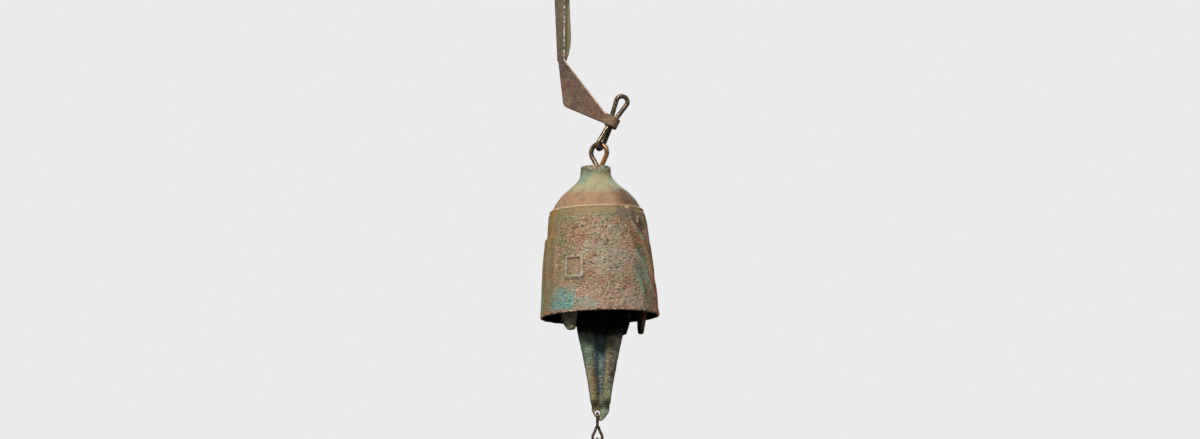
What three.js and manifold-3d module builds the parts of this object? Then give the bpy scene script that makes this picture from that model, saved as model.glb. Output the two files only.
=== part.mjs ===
// A cast bronze wind bell on a folded sheet-bronze hanger, hanging at rest.
// Millimetres, +Z up, +X to the right of the front view and +Y away from the viewer.
// The origin is the middle of the hang eye, and everything else hangs below it.

import * as THREE from 'three';
import { mergeVertices } from 'three/addons/utils/BufferGeometryUtils.js';
import Module from 'manifold-3d';

const wasm = await Module();
wasm.setup();

const { degToRad, lerp, smoothstep } = THREE.MathUtils;

// Fits
const GAP = 0.3; // running gap between pieces that touch
const STRAND_GAP = 0.4; // between the two strands of a closed-up wire
const BUTT_GAP = 0.5; // between the two cut ends of a bent wire

// Bronze wire, by diameter
const HANGER_WIRE = 4;
const ROD_WIRE = 2.8;
const TAIL_WIRE = 2.4;

// Hanger arm, one strip folded lengthwise, with a fin at each end
const SHEET = 1.6;
const EYE_BORE = 9;
const EYE_LUG = 18;
const FOLD_REACH = 34.4; // from the hang eye to the foot of the fold, sideways
const FOLD_FOOT = 88; // from the hang eye down to the foot of the fold
const FOLD_LENGTH = 64;
const FOLD_LEAN = degToRad(2.6);
const FOLD_ANGLE = degToRad(35);
const EDGE_REACH = 28.6; // from the hang eye to the front flange's free edge, sideways
const EDGE_TOP = 33; // from the hang eye down to where the upper fin starts
const EDGE_FOOT = 87; // from the hang eye down to where the lower fin starts
const REAR_FLANGE = 14.2;
const REAR_SLANT = 5; // how far the rear flange's upper end is cut back
const REAR_FOOT = 8.2; // its width at its lower end
const REAR_SWEEP = 24; // height over which its free edge sweeps out to the full width
const HEEL_DROP = 38.6; // from the foot of the fold down to the fin's heel
const HEEL_INSET = 4.4;
const HEEL_ROUND = 3.5;
const TOE_DEPTH = 139.3; // from the hang eye down to the middle of the rolled toe
const TOE_WIDTH = 8.7;
const TOE_LENGTH = 8; // straight stretch of the toe before its roll
const TOE_WRAP = degToRad(235);

// Hanger link, a wire with a loop at each end, held in the rolled toe
const LINK_TILT = degToRad(26.3);
const LINK_TOP_REACH = 19;
const LINK_TOP_BOW = 4.7; // radius of the wire's middle line
const LINK_BOTTOM_REACH = 20;
const LINK_BOTTOM_BOW = 4.8;
const LINK_TURN = degToRad(65); // between the planes of its two loops
const LINK_PLAY = 0.8; // along the toe, above and below it

// Bell
const RIM_RADIUS = 50;
const SHOULDER_RADIUS = 40.4;
const SEAM_RADIUS = 36.6;
const COLLAR_RADIUS = 12.8;
const SKIRT_HEIGHT = 85.5; // from the rim to the shoulder
const SHOULDER_HEIGHT = 6; // from the shoulder to the seam
const DOME_HEIGHT = 29.5; // from the seam to the foot of the collar
const SHOULDER_BEND = 0.65; // share of the shoulder where it turns in
const DOME_BEND = 0.55; // share of the dome where it turns from round to hollow
const DOME_SLOPE = degToRad(51.3); // from upright, at that bend
const DOME_FULLNESS = 0.7; // how far that slope runs on down before it rounds to the seam
const COLLAR_HEIGHT = 6.6;
const COLLAR_ROUND = 2.4;
const CROWN_THICKNESS = 15.6;
const WALL = 3.2;
const LIP_ROUND = 1;
const SEAM_RIDGE = 0.5;
const BELL_LEAN = degToRad(1.7); // the loop sits off the middle, so the bell hangs askew
const LOOP_OFFSET = 3.4; // from the bell's axis to its loop

// Bell loop, a wire through the crown with an eye above it and one inside
const EYE_REACH = 18.7;
const EYE_BOW = 7.4;
const INNER_EYE_REACH = 13.5;
const INNER_EYE_BOW = 5.2;
const LOOP_PLAY = 0.8; // along the bore, above and below the crown

// Clapper rod, a wire with an eye at each end
const ROD_LENGTH = 56;
const ROD_EYE_REACH = 12.5;
const ROD_EYE_BOW = 4.4;

// Clapper, a fluted tail under a crown of four fingers
const LUG_THICKNESS = 3.2;
const LUG_WALL = 3;
const NECK_RADIUS = 6;
const NECK_DROP = 7; // from the rod's wire down to the neck under the lug
const CROWN_RADIUS = 23.1;
const CROWN_DROP = 41; // from the rod's wire down to the widest part
const TAIL_RADIUS = 8.4; // where the tail turns in to its tip
const TAIL_DROP = 119;
const TAIL_FLARE = 1.25; // power of the taper: 1 is a straight cone
const TIP_DROP = 133;
const TIP_BLUNTNESS = 0.75; // power of the tip's rounding: 0.5 is a full round
const LOBE_SHARE = 0.42; // radius of a lobe, as a share of the tail's half width
const FLUTE_FLOOR = 0.6; // from the axis to the flat floor between two lobes, as such a share
const FLUTE_START = degToRad(23); // from the middle of a lobe to where its flank starts
const FLUTE_END = degToRad(35); // and to the foot of its flank
const TONGUE_THICKNESS = 3.6;
const TONGUE_HEIGHT = 9; // flattened stretch above the tip
const TAIL_BORE_DROP = 126;
const TAIL_BORE_OFFSET = -2.6;
const FINGER_REACH = 39.6; // outer radius of the fingers at their root
const FINGER_LEAN = 2; // how far a finger leans in towards its tip
const FINGER_THICKNESS = 5;
const FINGER_ROOT_THICKNESS = 8;
const FINGER_TIP_THICKNESS = 3.4;
const FINGER_WIDTH = 24;
const FINGER_CORNER = 1.6;
const FINGER_ROOT_DROP = 44; // from the rod's wire down to where the fingers turn straight
const FINGER_SPRING_DROP = 19; // and to where they leave the crown
const FINGERS = [
  { turn: degToRad(-44), length: 15.5, tipWidth: 8.5 },
  { turn: degToRad(71), length: 17.5, tipWidth: 5.5 },
  { turn: degToRad(148), length: 13.2, tipWidth: 6 },
  { turn: degToRad(230), length: 7.5, tipWidth: 7 },
];

// Tail chain and sail
const TAIL_LINKS = 4;
const TAIL_REACH = 10.5;
const TAIL_BOW = 4;
const TAIL_WAIST = 3;
const RING_RADIUS = 5.6;
const SAIL_SHEET = 1.6;
const SAIL_HEIGHT = 76;
const SAIL_TOP_WIDTH = 34;
const SAIL_FOOT_WIDTH = 60;
const SAIL_CORNER = 7;
const SAIL_FOLD = degToRad(7); // each half leans back from the middle ridge
const SAIL_BORE = 6;
const SAIL_MARGIN = 4; // metal above the sail's hole

// Smoothness
const WIRE_SIDES = 8;
const WIRE_STEPS = 1.3; // for each wire diameter of length
const BELL_SIDES = 48;
const CURVE_STEPS = 4;
const BORE_SIDES = 20;
const CLAPPER_SIDES = 48;
const CLAPPER_STATIONS = 22;
const OVERSHOOT = 3; // length of a cutter, in lengths of what it cuts

const TURNED = Math.PI / 2; // between two loops that stand square to each other

const CAST_BRONZE = new THREE.MeshStandardMaterial({ color: 0x8a6043, roughness: 0.6, metalness: 0.7 });
const CLAPPER_BRONZE = new THREE.MeshStandardMaterial({ color: 0x6f6640, roughness: 0.65, metalness: 0.6 });
const SHEET_BRONZE = new THREE.MeshStandardMaterial({ color: 0x75603f, roughness: 0.55, metalness: 0.7 });
const WIRE_BRONZE = new THREE.MeshStandardMaterial({ color: 0x6a4a34, roughness: 0.4, metalness: 0.85 });

// Solids

function solidOf(geometry) {
  const bare = new THREE.BufferGeometry().setAttribute('position', geometry.getAttribute('position').clone());
  if (geometry.index) bare.setIndex(geometry.index.clone());
  const merged = mergeVertices(bare);
  const corners = merged.index.array;
  const triVerts = [];
  for (let i = 0; i < corners.length; i += 3) {
    const [a, b, c] = [corners[i], corners[i + 1], corners[i + 2]];
    if (a !== b && b !== c && c !== a) triVerts.push(a, b, c);
  }
  return new wasm.Manifold(
    new wasm.Mesh({
      numProp: 3,
      vertProperties: merged.getAttribute('position').array,
      triVerts: new Uint32Array(triVerts),
    }),
  );
}

function geometryOf(solid) {
  const { vertProperties, triVerts } = solid.getMesh();
  const geometry = new THREE.BufferGeometry();
  geometry.setAttribute('position', new THREE.BufferAttribute(new Float32Array(vertProperties), 3));
  geometry.setIndex(new THREE.BufferAttribute(new Uint32Array(triVerts), 1));
  geometry.computeVertexNormals();
  return geometry;
}

const joined = (geometries) => geometries.map(solidOf).reduce((whole, solid) => whole.add(solid));

function piece(name, geometry, material) {
  const mesh = new THREE.Mesh(geometry, material);
  mesh.name = name;
  return mesh;
}

// A flat plate standing in the XZ plane, its outline drawn with Z up, centred on Y.
function uprightPlate(outline, thickness) {
  const geometry = new THREE.ExtrudeGeometry(outline, {
    depth: thickness,
    bevelEnabled: false,
    curveSegments: 2 * CURVE_STEPS,
  });
  return geometry.rotateX(Math.PI / 2).translate(0, thickness / 2, 0);
}

// A round bar through the given point, along Y.
function crossBar(diameter, length, x, z) {
  const bar = new THREE.CylinderGeometry(diameter / 2, diameter / 2, length, BORE_SIDES);
  return bar.translate(x, 0, z);
}

// Bent wire

// One loop of a bent wire: a round bow, and two straight legs that close up at its neck.
class WireLoop {
  constructor(bow, reach, halfSpread) {
    const drop = reach - bow;
    const neck = Math.hypot(drop, halfSpread);
    this.bow = bow;
    this.reach = reach;
    this.halfSpread = halfSpread;
    this.open = Math.atan2(halfSpread, drop) + Math.acos(bow / neck);
    this.leg = Math.sqrt(neck * neck - bow * bow);
    this.arc = 2 * bow * (Math.PI - this.open);
    this.length = 2 * this.leg + this.arc;
  }

  // Offset from the axis and depth below the crest, going round from the positive leg to the other.
  at(distance) {
    if (distance > this.length / 2) {
      const [offset, depth] = this.at(this.length - distance);
      return [-offset, depth];
    }
    if (distance < this.leg) {
      const share = distance / this.leg;
      const offset = lerp(this.halfSpread, this.bow * Math.sin(this.open), share);
      return [offset, lerp(this.reach, this.bow * (1 + Math.cos(this.open)), share)];
    }
    const angle = this.open + (distance - this.leg) / this.bow;
    return [this.bow * Math.sin(angle), this.bow * (1 + Math.cos(angle))];
  }
}

// A wire with a loop at each end and two strands between them that turn about each other.
// Its top bow is at the origin and it runs down -Z. Its cut ends meet halfway along one strand.
class LoopedWire extends THREE.Curve {
  constructor({ wire, topBow, topReach, waist, bottomBow, bottomReach, turn }) {
    super();
    this.wire = wire;
    this.waist = waist;
    this.turn = turn;
    this.halfSpread = (wire + STRAND_GAP) / 2;
    this.top = new WireLoop(topBow, topReach, this.halfSpread);
    this.bottom = new WireLoop(bottomBow, bottomReach, this.halfSpread);
    this.strand = Math.hypot(waist, this.halfSpread * turn);
    this.total = topReach + waist + bottomReach;
    this.wireLength = 2 * this.strand + this.top.length + this.bottom.length - BUTT_GAP;
  }

  // A point at an offset from the axis, turned with the strands at a share of the waist.
  turned(offset, depth, share) {
    const angle = this.turn * share;
    return new THREE.Vector3(offset * Math.cos(angle), offset * Math.sin(angle), -depth);
  }

  onStrand(side, share) {
    return this.turned(side * this.halfSpread, this.top.reach + this.waist * share, share);
  }

  getPoint(t) {
    let distance = t * this.wireLength;
    if (distance < this.strand / 2) return this.onStrand(1, 0.5 - distance / this.strand);
    distance -= this.strand / 2;
    if (distance < this.top.length) return this.turned(...this.top.at(distance), 0);
    distance -= this.top.length;
    if (distance < this.strand) return this.onStrand(-1, distance / this.strand);
    distance -= this.strand;
    if (distance < this.bottom.length) {
      const [offset, height] = this.bottom.at(distance);
      return this.turned(-offset, this.total - height, 1);
    }
    distance -= this.bottom.length;
    return this.onStrand(1, 1 - distance / this.strand);
  }
}

// A plain ring of wire in the YZ plane, open by the gap between its cut ends.
class OpenRing extends THREE.Curve {
  constructor(radius) {
    super();
    this.radius = radius;
    this.wireLength = 2 * Math.PI * radius - BUTT_GAP;
  }

  getPoint(t) {
    const angle = (t * this.wireLength + BUTT_GAP / 2) / this.radius;
    return new THREE.Vector3(0, this.radius * Math.cos(angle), this.radius * Math.sin(angle));
  }
}

function wireGeometry(curve, diameter) {
  const section = new THREE.Shape().absarc(0, 0, diameter / 2, 0, 2 * Math.PI);
  return new THREE.ExtrudeGeometry(section, {
    steps: Math.ceil((WIRE_STEPS * curve.wireLength) / diameter),
    curveSegments: WIRE_SIDES / 2,
    extrudePath: curve,
  });
}

// Radius of a hole that lets a bow swing in a plate, though the bow bends away within it.
function bowBore(wire, bow, thickness) {
  const bent = bow - Math.sqrt(bow * bow - (thickness * thickness) / 4);
  return wire / 2 + bent + 2 * GAP;
}

// Hanger arm

const rollInside = HANGER_WIRE + STRAND_GAP / 2 + GAP;
const hangLine = SHEET / 2 + rollInside; // the wires hang this far behind the sheet's middle
const linkWaist = TOE_WIDTH + 2 * LINK_PLAY;
const linkBelowToe = linkWaist / 2 + LINK_BOTTOM_REACH;
const linkAxis = new THREE.Vector3(Math.sin(LINK_TILT), 0, Math.cos(LINK_TILT));

// The link's lower bow is tilted. The bell hangs at its lowest point, from the wire as it runs there.
const bowSpread = new THREE.Vector3(Math.cos(LINK_TURN), Math.sin(LINK_TURN), 0);
bowSpread.applyAxisAngle(new THREE.Vector3(0, 1, 0), LINK_TILT);
const bowDown = new THREE.Vector3()
  .addScaledVector(linkAxis, -linkAxis.z)
  .addScaledVector(bowSpread, -bowSpread.z)
  .normalize();
const toeToBell = new THREE.Vector3()
  .addScaledVector(linkAxis, LINK_BOTTOM_BOW - linkBelowToe)
  .addScaledVector(bowDown, LINK_BOTTOM_BOW);
const bowWire = bowSpread.clone().projectOnPlane(bowDown).normalize();
const toe = new THREE.Vector3(-toeToBell.x, hangLine, -TOE_DEPTH);

// The angle at which a line from a corner touches the round lug, on the side given by a sign.
function lugTouch(corner, side) {
  return Math.atan2(corner.y, corner.x) + side * Math.acos(EYE_LUG / 2 / corner.length());
}

function armOutline() {
  const along = new THREE.Vector2(Math.cos(LINK_TILT), -Math.sin(LINK_TILT));
  const across = new THREE.Vector2(linkAxis.x, linkAxis.z);
  const roll = new THREE.Vector2(toe.x, toe.z);
  const toeTop = roll.clone().addScaledVector(across, TOE_WIDTH / 2);
  const toeFoot = roll.clone().addScaledVector(across, -TOE_WIDTH / 2);
  const notch = toeTop.clone().addScaledVector(along, -TOE_LENGTH);
  const foldFoot = new THREE.Vector2(-FOLD_REACH, -FOLD_FOOT);
  const up = new THREE.Vector2(-Math.sin(FOLD_LEAN), Math.cos(FOLD_LEAN));
  const foldTop = foldFoot.clone().addScaledVector(up, FOLD_LENGTH);
  const heel = foldFoot.clone().add(new THREE.Vector2(HEEL_INSET, -HEEL_DROP));
  const heelStart = heel.clone().add(foldFoot.clone().sub(heel).setLength(HEEL_ROUND));
  const heelEnd = heel.clone().add(toeFoot.clone().sub(heel).setLength(HEEL_ROUND));
  const edgeTop = new THREE.Vector2(-EDGE_REACH, -EDGE_TOP);

  const outline = new THREE.Shape();
  outline.moveTo(foldFoot.x, foldFoot.y);
  outline.lineTo(heelStart.x, heelStart.y);
  outline.quadraticCurveTo(heel.x, heel.y, heelEnd.x, heelEnd.y);
  outline.lineTo(toeFoot.x, toeFoot.y);
  outline.lineTo(toeTop.x, toeTop.y);
  outline.lineTo(notch.x, notch.y);
  outline.lineTo(-EDGE_REACH, -EDGE_FOOT);
  outline.lineTo(edgeTop.x, edgeTop.y);
  outline.absarc(0, 0, EYE_LUG / 2, lugTouch(edgeTop, 1), lugTouch(foldTop, -1), false);
  outline.lineTo(foldTop.x, foldTop.y);
  outline.closePath();
  outline.holes.push(new THREE.Path().absarc(0, 0, EYE_BORE / 2, 0, 2 * Math.PI, true));
  return outline;
}

// The rear flange stands on the fold line and leans away behind the front one.
function rearFlange() {
  const outline = new THREE.Shape();
  outline.moveTo(0, 0);
  outline.lineTo(REAR_FOOT, 0);
  outline.quadraticCurveTo(REAR_FLANGE, REAR_SWEEP / 2, REAR_FLANGE, REAR_SWEEP);
  outline.lineTo(REAR_FLANGE, FOLD_LENGTH - REAR_SLANT);
  outline.lineTo(0, FOLD_LENGTH);
  outline.closePath();
  const flange = uprightPlate(outline, SHEET);
  return flange.rotateZ(FOLD_ANGLE);
}

function hangerArm() {
  const nose = new THREE.CylinderGeometry(SHEET / 2, SHEET / 2, FOLD_LENGTH, BORE_SIDES);
  nose.rotateX(Math.PI / 2).translate(0, 0, FOLD_LENGTH / 2);
  const fold = [rearFlange(), nose];
  for (const part of fold) part.rotateY(-FOLD_LEAN).translate(-FOLD_REACH, 0, -FOLD_FOOT);

  const rollOutside = rollInside + SHEET;
  const roll = new THREE.Shape();
  roll.moveTo(-SHEET, -rollOutside);
  roll.absarc(0, 0, rollOutside, -Math.PI / 2, TOE_WRAP - Math.PI / 2, false);
  roll.absarc(0, 0, rollInside, TOE_WRAP - Math.PI / 2, -Math.PI / 2, true);
  roll.lineTo(-SHEET, -rollInside);
  roll.closePath();
  const rolled = new THREE.ExtrudeGeometry(roll, {
    depth: TOE_WIDTH,
    bevelEnabled: false,
    curveSegments: 4 * CURVE_STEPS,
  });
  rolled.translate(0, 0, -TOE_WIDTH / 2).rotateY(LINK_TILT).translate(toe.x, toe.y, toe.z);

  const arm = joined([uprightPlate(armOutline(), SHEET), ...fold, rolled]);
  return piece('hanger_arm', geometryOf(arm), SHEET_BRONZE);
}

// Hanger link

function hangerLink() {
  const curve = new LoopedWire({
    wire: HANGER_WIRE,
    topBow: LINK_TOP_BOW,
    topReach: LINK_TOP_REACH,
    waist: linkWaist,
    bottomBow: LINK_BOTTOM_BOW,
    bottomReach: LINK_BOTTOM_REACH,
    turn: LINK_TURN,
  });
  const link = piece('hanger_link', wireGeometry(curve, HANGER_WIRE), WIRE_BRONZE);
  link.position.copy(toe).addScaledVector(linkAxis, linkWaist / 2 + LINK_TOP_REACH);
  link.rotation.y = LINK_TILT;
  return link;
}

// Bell, in a leaning group whose origin is the lower bow of the hanger link

const seamHeight = SKIRT_HEIGHT + SHOULDER_HEIGHT;
const bellHeight = seamHeight + DOME_HEIGHT + COLLAR_HEIGHT;
const loopCrest = HANGER_WIRE + GAP;
const collarTop = loopCrest - EYE_REACH - LOOP_PLAY;
const loopWaist = CROWN_THICKNESS + 2 * LOOP_PLAY;
const eyeTurn = Math.atan2(bowWire.y, bowWire.x) - TURNED; // the eye stands square to the link's bow
const innerBow = loopCrest - EYE_REACH - loopWaist - INNER_EYE_REACH;

const bell = new THREE.Group();
bell.position.copy(toe).add(toeToBell);
bell.rotation.y = -BELL_LEAN;

// The points of a wall's inner face, square to its outer face.
function insetBy(points, wall) {
  return points.map((point, i) => {
    const before = points[Math.max(i - 1, 0)];
    const after = points[Math.min(i + 1, points.length - 1)];
    const run = after.clone().sub(before).normalize();
    return new THREE.Vector2(point.x - wall * run.y, point.y + wall * run.x);
  });
}

function bellShell() {
  const bend = new THREE.Vector2(
    lerp(SEAM_RADIUS, COLLAR_RADIUS, DOME_BEND),
    seamHeight + DOME_BEND * DOME_HEIGHT,
  );
  const slope = new THREE.Vector2(-Math.sin(DOME_SLOPE), Math.cos(DOME_SLOPE));
  const onSlope = (radius) => bend.clone().addScaledVector(slope, (radius - bend.x) / slope.x);
  const brow = onSlope(lerp(bend.x, SEAM_RADIUS, DOME_FULLNESS));
  const throat = onSlope(COLLAR_RADIUS);
  const draft = (RIM_RADIUS - SHOULDER_RADIUS) / SKIRT_HEIGHT;
  const shoulderTop = SKIRT_HEIGHT + SHOULDER_BEND * SHOULDER_HEIGHT;

  const wall = new THREE.Path();
  wall.moveTo(RIM_RADIUS, 0);
  wall.lineTo(SHOULDER_RADIUS, SKIRT_HEIGHT);
  wall.quadraticCurveTo(RIM_RADIUS - draft * shoulderTop, shoulderTop, SEAM_RADIUS, seamHeight);
  wall.quadraticCurveTo(brow.x, brow.y, bend.x, bend.y);
  const inside = insetBy(wall.getPoints(CURVE_STEPS), WALL);
  inside[0].set(RIM_RADIUS - WALL, 0);
  const ceiling = bellHeight - CROWN_THICKNESS;
  const boreRadius = HANGER_WIRE + STRAND_GAP / 2 + GAP;
  inside.push(new THREE.Vector2(LOOP_OFFSET + boreRadius + LIP_ROUND, ceiling));
  inside.push(new THREE.Vector2(0, ceiling));

  const outside = new THREE.Path();
  outside.moveTo(RIM_RADIUS - LIP_ROUND, 0);
  outside.lineTo(RIM_RADIUS, LIP_ROUND);
  outside.lineTo(SHOULDER_RADIUS, SKIRT_HEIGHT);
  outside.quadraticCurveTo(RIM_RADIUS - draft * shoulderTop, shoulderTop, SEAM_RADIUS, seamHeight - SEAM_RIDGE);
  outside.lineTo(SEAM_RADIUS + SEAM_RIDGE, seamHeight);
  outside.lineTo(SEAM_RADIUS - SEAM_RIDGE, seamHeight + 2 * SEAM_RIDGE);
  outside.quadraticCurveTo(brow.x, brow.y, bend.x, bend.y);
  outside.quadraticCurveTo(throat.x, throat.y, COLLAR_RADIUS, bellHeight - COLLAR_HEIGHT);
  outside.lineTo(COLLAR_RADIUS, bellHeight - COLLAR_ROUND);
  outside.quadraticCurveTo(COLLAR_RADIUS, bellHeight, COLLAR_RADIUS - COLLAR_ROUND, bellHeight);
  outside.lineTo(0, bellHeight);

  const profile = [...inside.reverse(), ...outside.getPoints(CURVE_STEPS)];
  const turnedShell = new THREE.LatheGeometry(profile, BELL_SIDES).rotateX(Math.PI / 2);
  const bore = new THREE.CylinderGeometry(boreRadius, boreRadius, OVERSHOOT * CROWN_THICKNESS, BORE_SIDES);
  bore.rotateX(Math.PI / 2).translate(LOOP_OFFSET, 0, bellHeight);
  const shell = piece('bell_shell', geometryOf(solidOf(turnedShell).subtract(solidOf(bore))), CAST_BRONZE);
  shell.position.set(-LOOP_OFFSET, 0, collarTop - bellHeight);
  return shell;
}

function bellLoop() {
  const curve = new LoopedWire({
    wire: HANGER_WIRE,
    topBow: EYE_BOW,
    topReach: EYE_REACH,
    waist: loopWaist,
    bottomBow: INNER_EYE_BOW,
    bottomReach: INNER_EYE_REACH,
    turn: -eyeTurn,
  });
  const loop = piece('bell_loop', wireGeometry(curve, HANGER_WIRE), WIRE_BRONZE);
  loop.position.z = loopCrest;
  loop.rotation.z = eyeTurn;
  return loop;
}

// Clapper rod, hanging plumb from the bell's inner eye with its top bow along Y

bell.updateMatrixWorld(true);
const rodCrest = bell.localToWorld(new THREE.Vector3(0, 0, innerBow));
rodCrest.z += (HANGER_WIRE + ROD_WIRE) / 2 + GAP;

function clapperRod() {
  const curve = new LoopedWire({
    wire: ROD_WIRE,
    topBow: ROD_EYE_BOW,
    topReach: ROD_EYE_REACH,
    waist: ROD_LENGTH - 2 * ROD_EYE_REACH,
    bottomBow: ROD_EYE_BOW,
    bottomReach: ROD_EYE_REACH,
    turn: TURNED,
  });
  const rod = piece('clapper_rod', wireGeometry(curve, ROD_WIRE), WIRE_BRONZE);
  rod.position.copy(rodCrest);
  rod.rotation.z = Math.PI / 2;
  return rod;
}

// Clapper, measured down from the rod's lower wire

const clapperPivot = rodCrest.clone();
clapperPivot.z -= ROD_LENGTH;

// Half width of the clapper's core at a depth: a domed crown, a flaring tail and a round tip.
function coreRadius(drop) {
  if (drop < CROWN_DROP) {
    const share = (CROWN_DROP - drop) / (CROWN_DROP - NECK_DROP);
    return NECK_RADIUS + (CROWN_RADIUS - NECK_RADIUS) * Math.sqrt(1 - share * share);
  }
  if (drop < TAIL_DROP) {
    const share = (TAIL_DROP - drop) / (TAIL_DROP - CROWN_DROP);
    return TAIL_RADIUS + (CROWN_RADIUS - TAIL_RADIUS) * share ** TAIL_FLARE;
  }
  const share = (drop - TAIL_DROP) / (TIP_DROP - TAIL_DROP);
  return TAIL_RADIUS * (1 - share * share) ** TIP_BLUNTNESS;
}

// Radius of a four-lobed outline of half width 1, its lobes standing between the axes and its flutes on them.
function lobedRadius(angle) {
  const quarter = Math.PI / 2;
  const fromLobe = Math.abs((angle % quarter) - quarter / 2);
  const centre = Math.SQRT2 * (1 - LOBE_SHARE);
  const side = centre * Math.sin(fromLobe);
  const lobe = centre * Math.cos(fromLobe) + Math.sqrt(Math.max(0, LOBE_SHARE * LOBE_SHARE - side * side));
  const floor = FLUTE_FLOOR / Math.cos(quarter / 2 - fromLobe);
  return lerp(lobe, floor, smoothstep(fromLobe, FLUTE_START, FLUTE_END));
}

function clapperCore() {
  const tongueTop = TIP_DROP - TONGUE_HEIGHT;
  const sides = CLAPPER_SIDES;
  const stations = CLAPPER_STATIONS;
  const vertices = [];
  const triangles = [];
  for (let i = 0; i <= stations; i++) {
    // The stations crowd towards both round ends.
    const drop = lerp(NECK_DROP, TIP_DROP - GAP, (1 - Math.cos((Math.PI * i) / stations)) / 2);
    const width = coreRadius(drop);
    const fluted = smoothstep(drop, FINGER_SPRING_DROP, FINGER_ROOT_DROP);
    const flattened = smoothstep(drop, tongueTop - TONGUE_HEIGHT, tongueTop);
    const depthShare = lerp(1, Math.min(1, TONGUE_THICKNESS / (2 * width)), flattened);
    for (let j = 0; j < sides; j++) {
      const angle = (2 * Math.PI * j) / sides;
      const radius = width * lerp(1, lobedRadius(angle), fluted * (1 - flattened));
      vertices.push(radius * Math.cos(angle), depthShare * radius * Math.sin(angle), -drop);
    }
  }
  vertices.push(0, 0, -NECK_DROP, 0, 0, -TIP_DROP);
  const top = sides * (stations + 1);
  const tip = top + 1;
  for (let j = 0; j < sides; j++) {
    const next = (j + 1) % sides;
    for (let i = 0; i < stations; i++) {
      const upper = i * sides;
      const lower = upper + sides;
      triangles.push(upper + j, lower + j, upper + next, upper + next, lower + j, lower + next);
    }
    triangles.push(top, j, next);
    triangles.push(tip, stations * sides + next, stations * sides + j);
  }
  const core = new THREE.BufferGeometry();
  core.setAttribute('position', new THREE.Float32BufferAttribute(vertices, 3));
  core.setIndex(triangles);
  return core;
}

// A finger springs out of the crown, turns down and hangs past the rim, tapering all ways.
function clapperFinger({ turn, length, tipWidth }) {
  const outer = FINGER_REACH;
  const inner = outer - FINGER_THICKNESS;
  const tipOuter = outer - FINGER_LEAN;
  const tipInner = tipOuter - FINGER_TIP_THICKNESS;
  const foot = FINGER_ROOT_DROP + length;
  const under = FINGER_SPRING_DROP + FINGER_ROOT_THICKNESS;
  const side = new THREE.Shape();
  side.moveTo(0, -FINGER_SPRING_DROP);
  side.quadraticCurveTo(outer, -FINGER_SPRING_DROP, outer, -FINGER_ROOT_DROP);
  side.lineTo(tipOuter, -foot + FINGER_TIP_THICKNESS / 2);
  side.quadraticCurveTo(tipOuter, -foot, tipOuter - FINGER_TIP_THICKNESS / 2, -foot);
  side.quadraticCurveTo(tipInner, -foot, tipInner, -foot + FINGER_TIP_THICKNESS / 2);
  side.lineTo(inner, -FINGER_ROOT_DROP);
  side.quadraticCurveTo(inner, -under, 0, -under);
  side.closePath();

  const halfTip = tipWidth / 2;
  const front = new THREE.Shape();
  front.moveTo(-FINGER_WIDTH / 2, 0);
  front.lineTo(-FINGER_WIDTH / 2, -FINGER_SPRING_DROP - FINGER_THICKNESS);
  front.lineTo(-halfTip, -foot + FINGER_CORNER);
  front.quadraticCurveTo(-halfTip, -foot, -halfTip + FINGER_CORNER, -foot);
  front.lineTo(halfTip - FINGER_CORNER, -foot);
  front.quadraticCurveTo(halfTip, -foot, halfTip, -foot + FINGER_CORNER);
  front.lineTo(FINGER_WIDTH / 2, -FINGER_SPRING_DROP - FINGER_THICKNESS);
  front.lineTo(FINGER_WIDTH / 2, 0);
  front.closePath();

  const blade = uprightPlate(side, FINGER_WIDTH);
  const taper = uprightPlate(front, OVERSHOOT * FINGER_REACH).rotateZ(Math.PI / 2);
  const finger = geometryOf(solidOf(blade).intersect(solidOf(taper)));
  // Turn 0 faces the viewer.
  return finger.rotateZ(turn - Math.PI / 2);
}

function clapperLug() {
  const boreRadius = bowBore(ROD_WIRE, ROD_EYE_BOW, LUG_THICKNESS);
  const radius = boreRadius + LUG_WALL;
  const outline = new THREE.Shape();
  outline.moveTo(-radius, -NECK_DROP - LUG_WALL);
  outline.lineTo(radius, -NECK_DROP - LUG_WALL);
  outline.lineTo(radius, -GAP);
  outline.absarc(0, -GAP, radius, 0, Math.PI, false);
  outline.closePath();
  outline.holes.push(new THREE.Path().absarc(0, -GAP, boreRadius, 0, 2 * Math.PI, true));
  return uprightPlate(outline, LUG_THICKNESS).rotateZ(Math.PI / 2);
}

function clapper() {
  const boreWidth = 2 * bowBore(TAIL_WIRE, TAIL_BOW, TONGUE_THICKNESS);
  const bore = crossBar(boreWidth, OVERSHOOT * CROWN_RADIUS, TAIL_BORE_OFFSET, -TAIL_BORE_DROP);
  const body = joined([clapperCore(), clapperLug(), ...FINGERS.map(clapperFinger)]);
  const casting = piece('clapper', geometryOf(body.subtract(solidOf(bore))), CLAPPER_BRONZE);
  casting.position.copy(clapperPivot);
  return casting;
}

// Tail chain: each link hangs in the one above, its top loop fore and aft, its bottom loop facing front

const tailLink = new LoopedWire({
  wire: TAIL_WIRE,
  topBow: TAIL_BOW,
  topReach: TAIL_REACH,
  waist: TAIL_WAIST,
  bottomBow: TAIL_BOW,
  bottomReach: TAIL_REACH,
  turn: TURNED,
});
const tailPitch = tailLink.total - TAIL_WIRE - GAP;
const chainCrest = clapperPivot.clone().add(new THREE.Vector3(TAIL_BORE_OFFSET, 0, -TAIL_BORE_DROP - GAP));

function tailChain() {
  const links = [];
  for (let i = 0; i < TAIL_LINKS; i++) {
    const link = piece(`tail_link_${i + 1}`, wireGeometry(tailLink, TAIL_WIRE), WIRE_BRONZE);
    link.position.copy(chainCrest);
    link.position.z -= i * tailPitch;
    link.rotation.z = Math.PI / 2;
    links.push(link);
  }
  return links;
}

const ringMiddle = chainCrest.clone();
ringMiddle.z -= TAIL_LINKS * tailPitch + RING_RADIUS;

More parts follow.
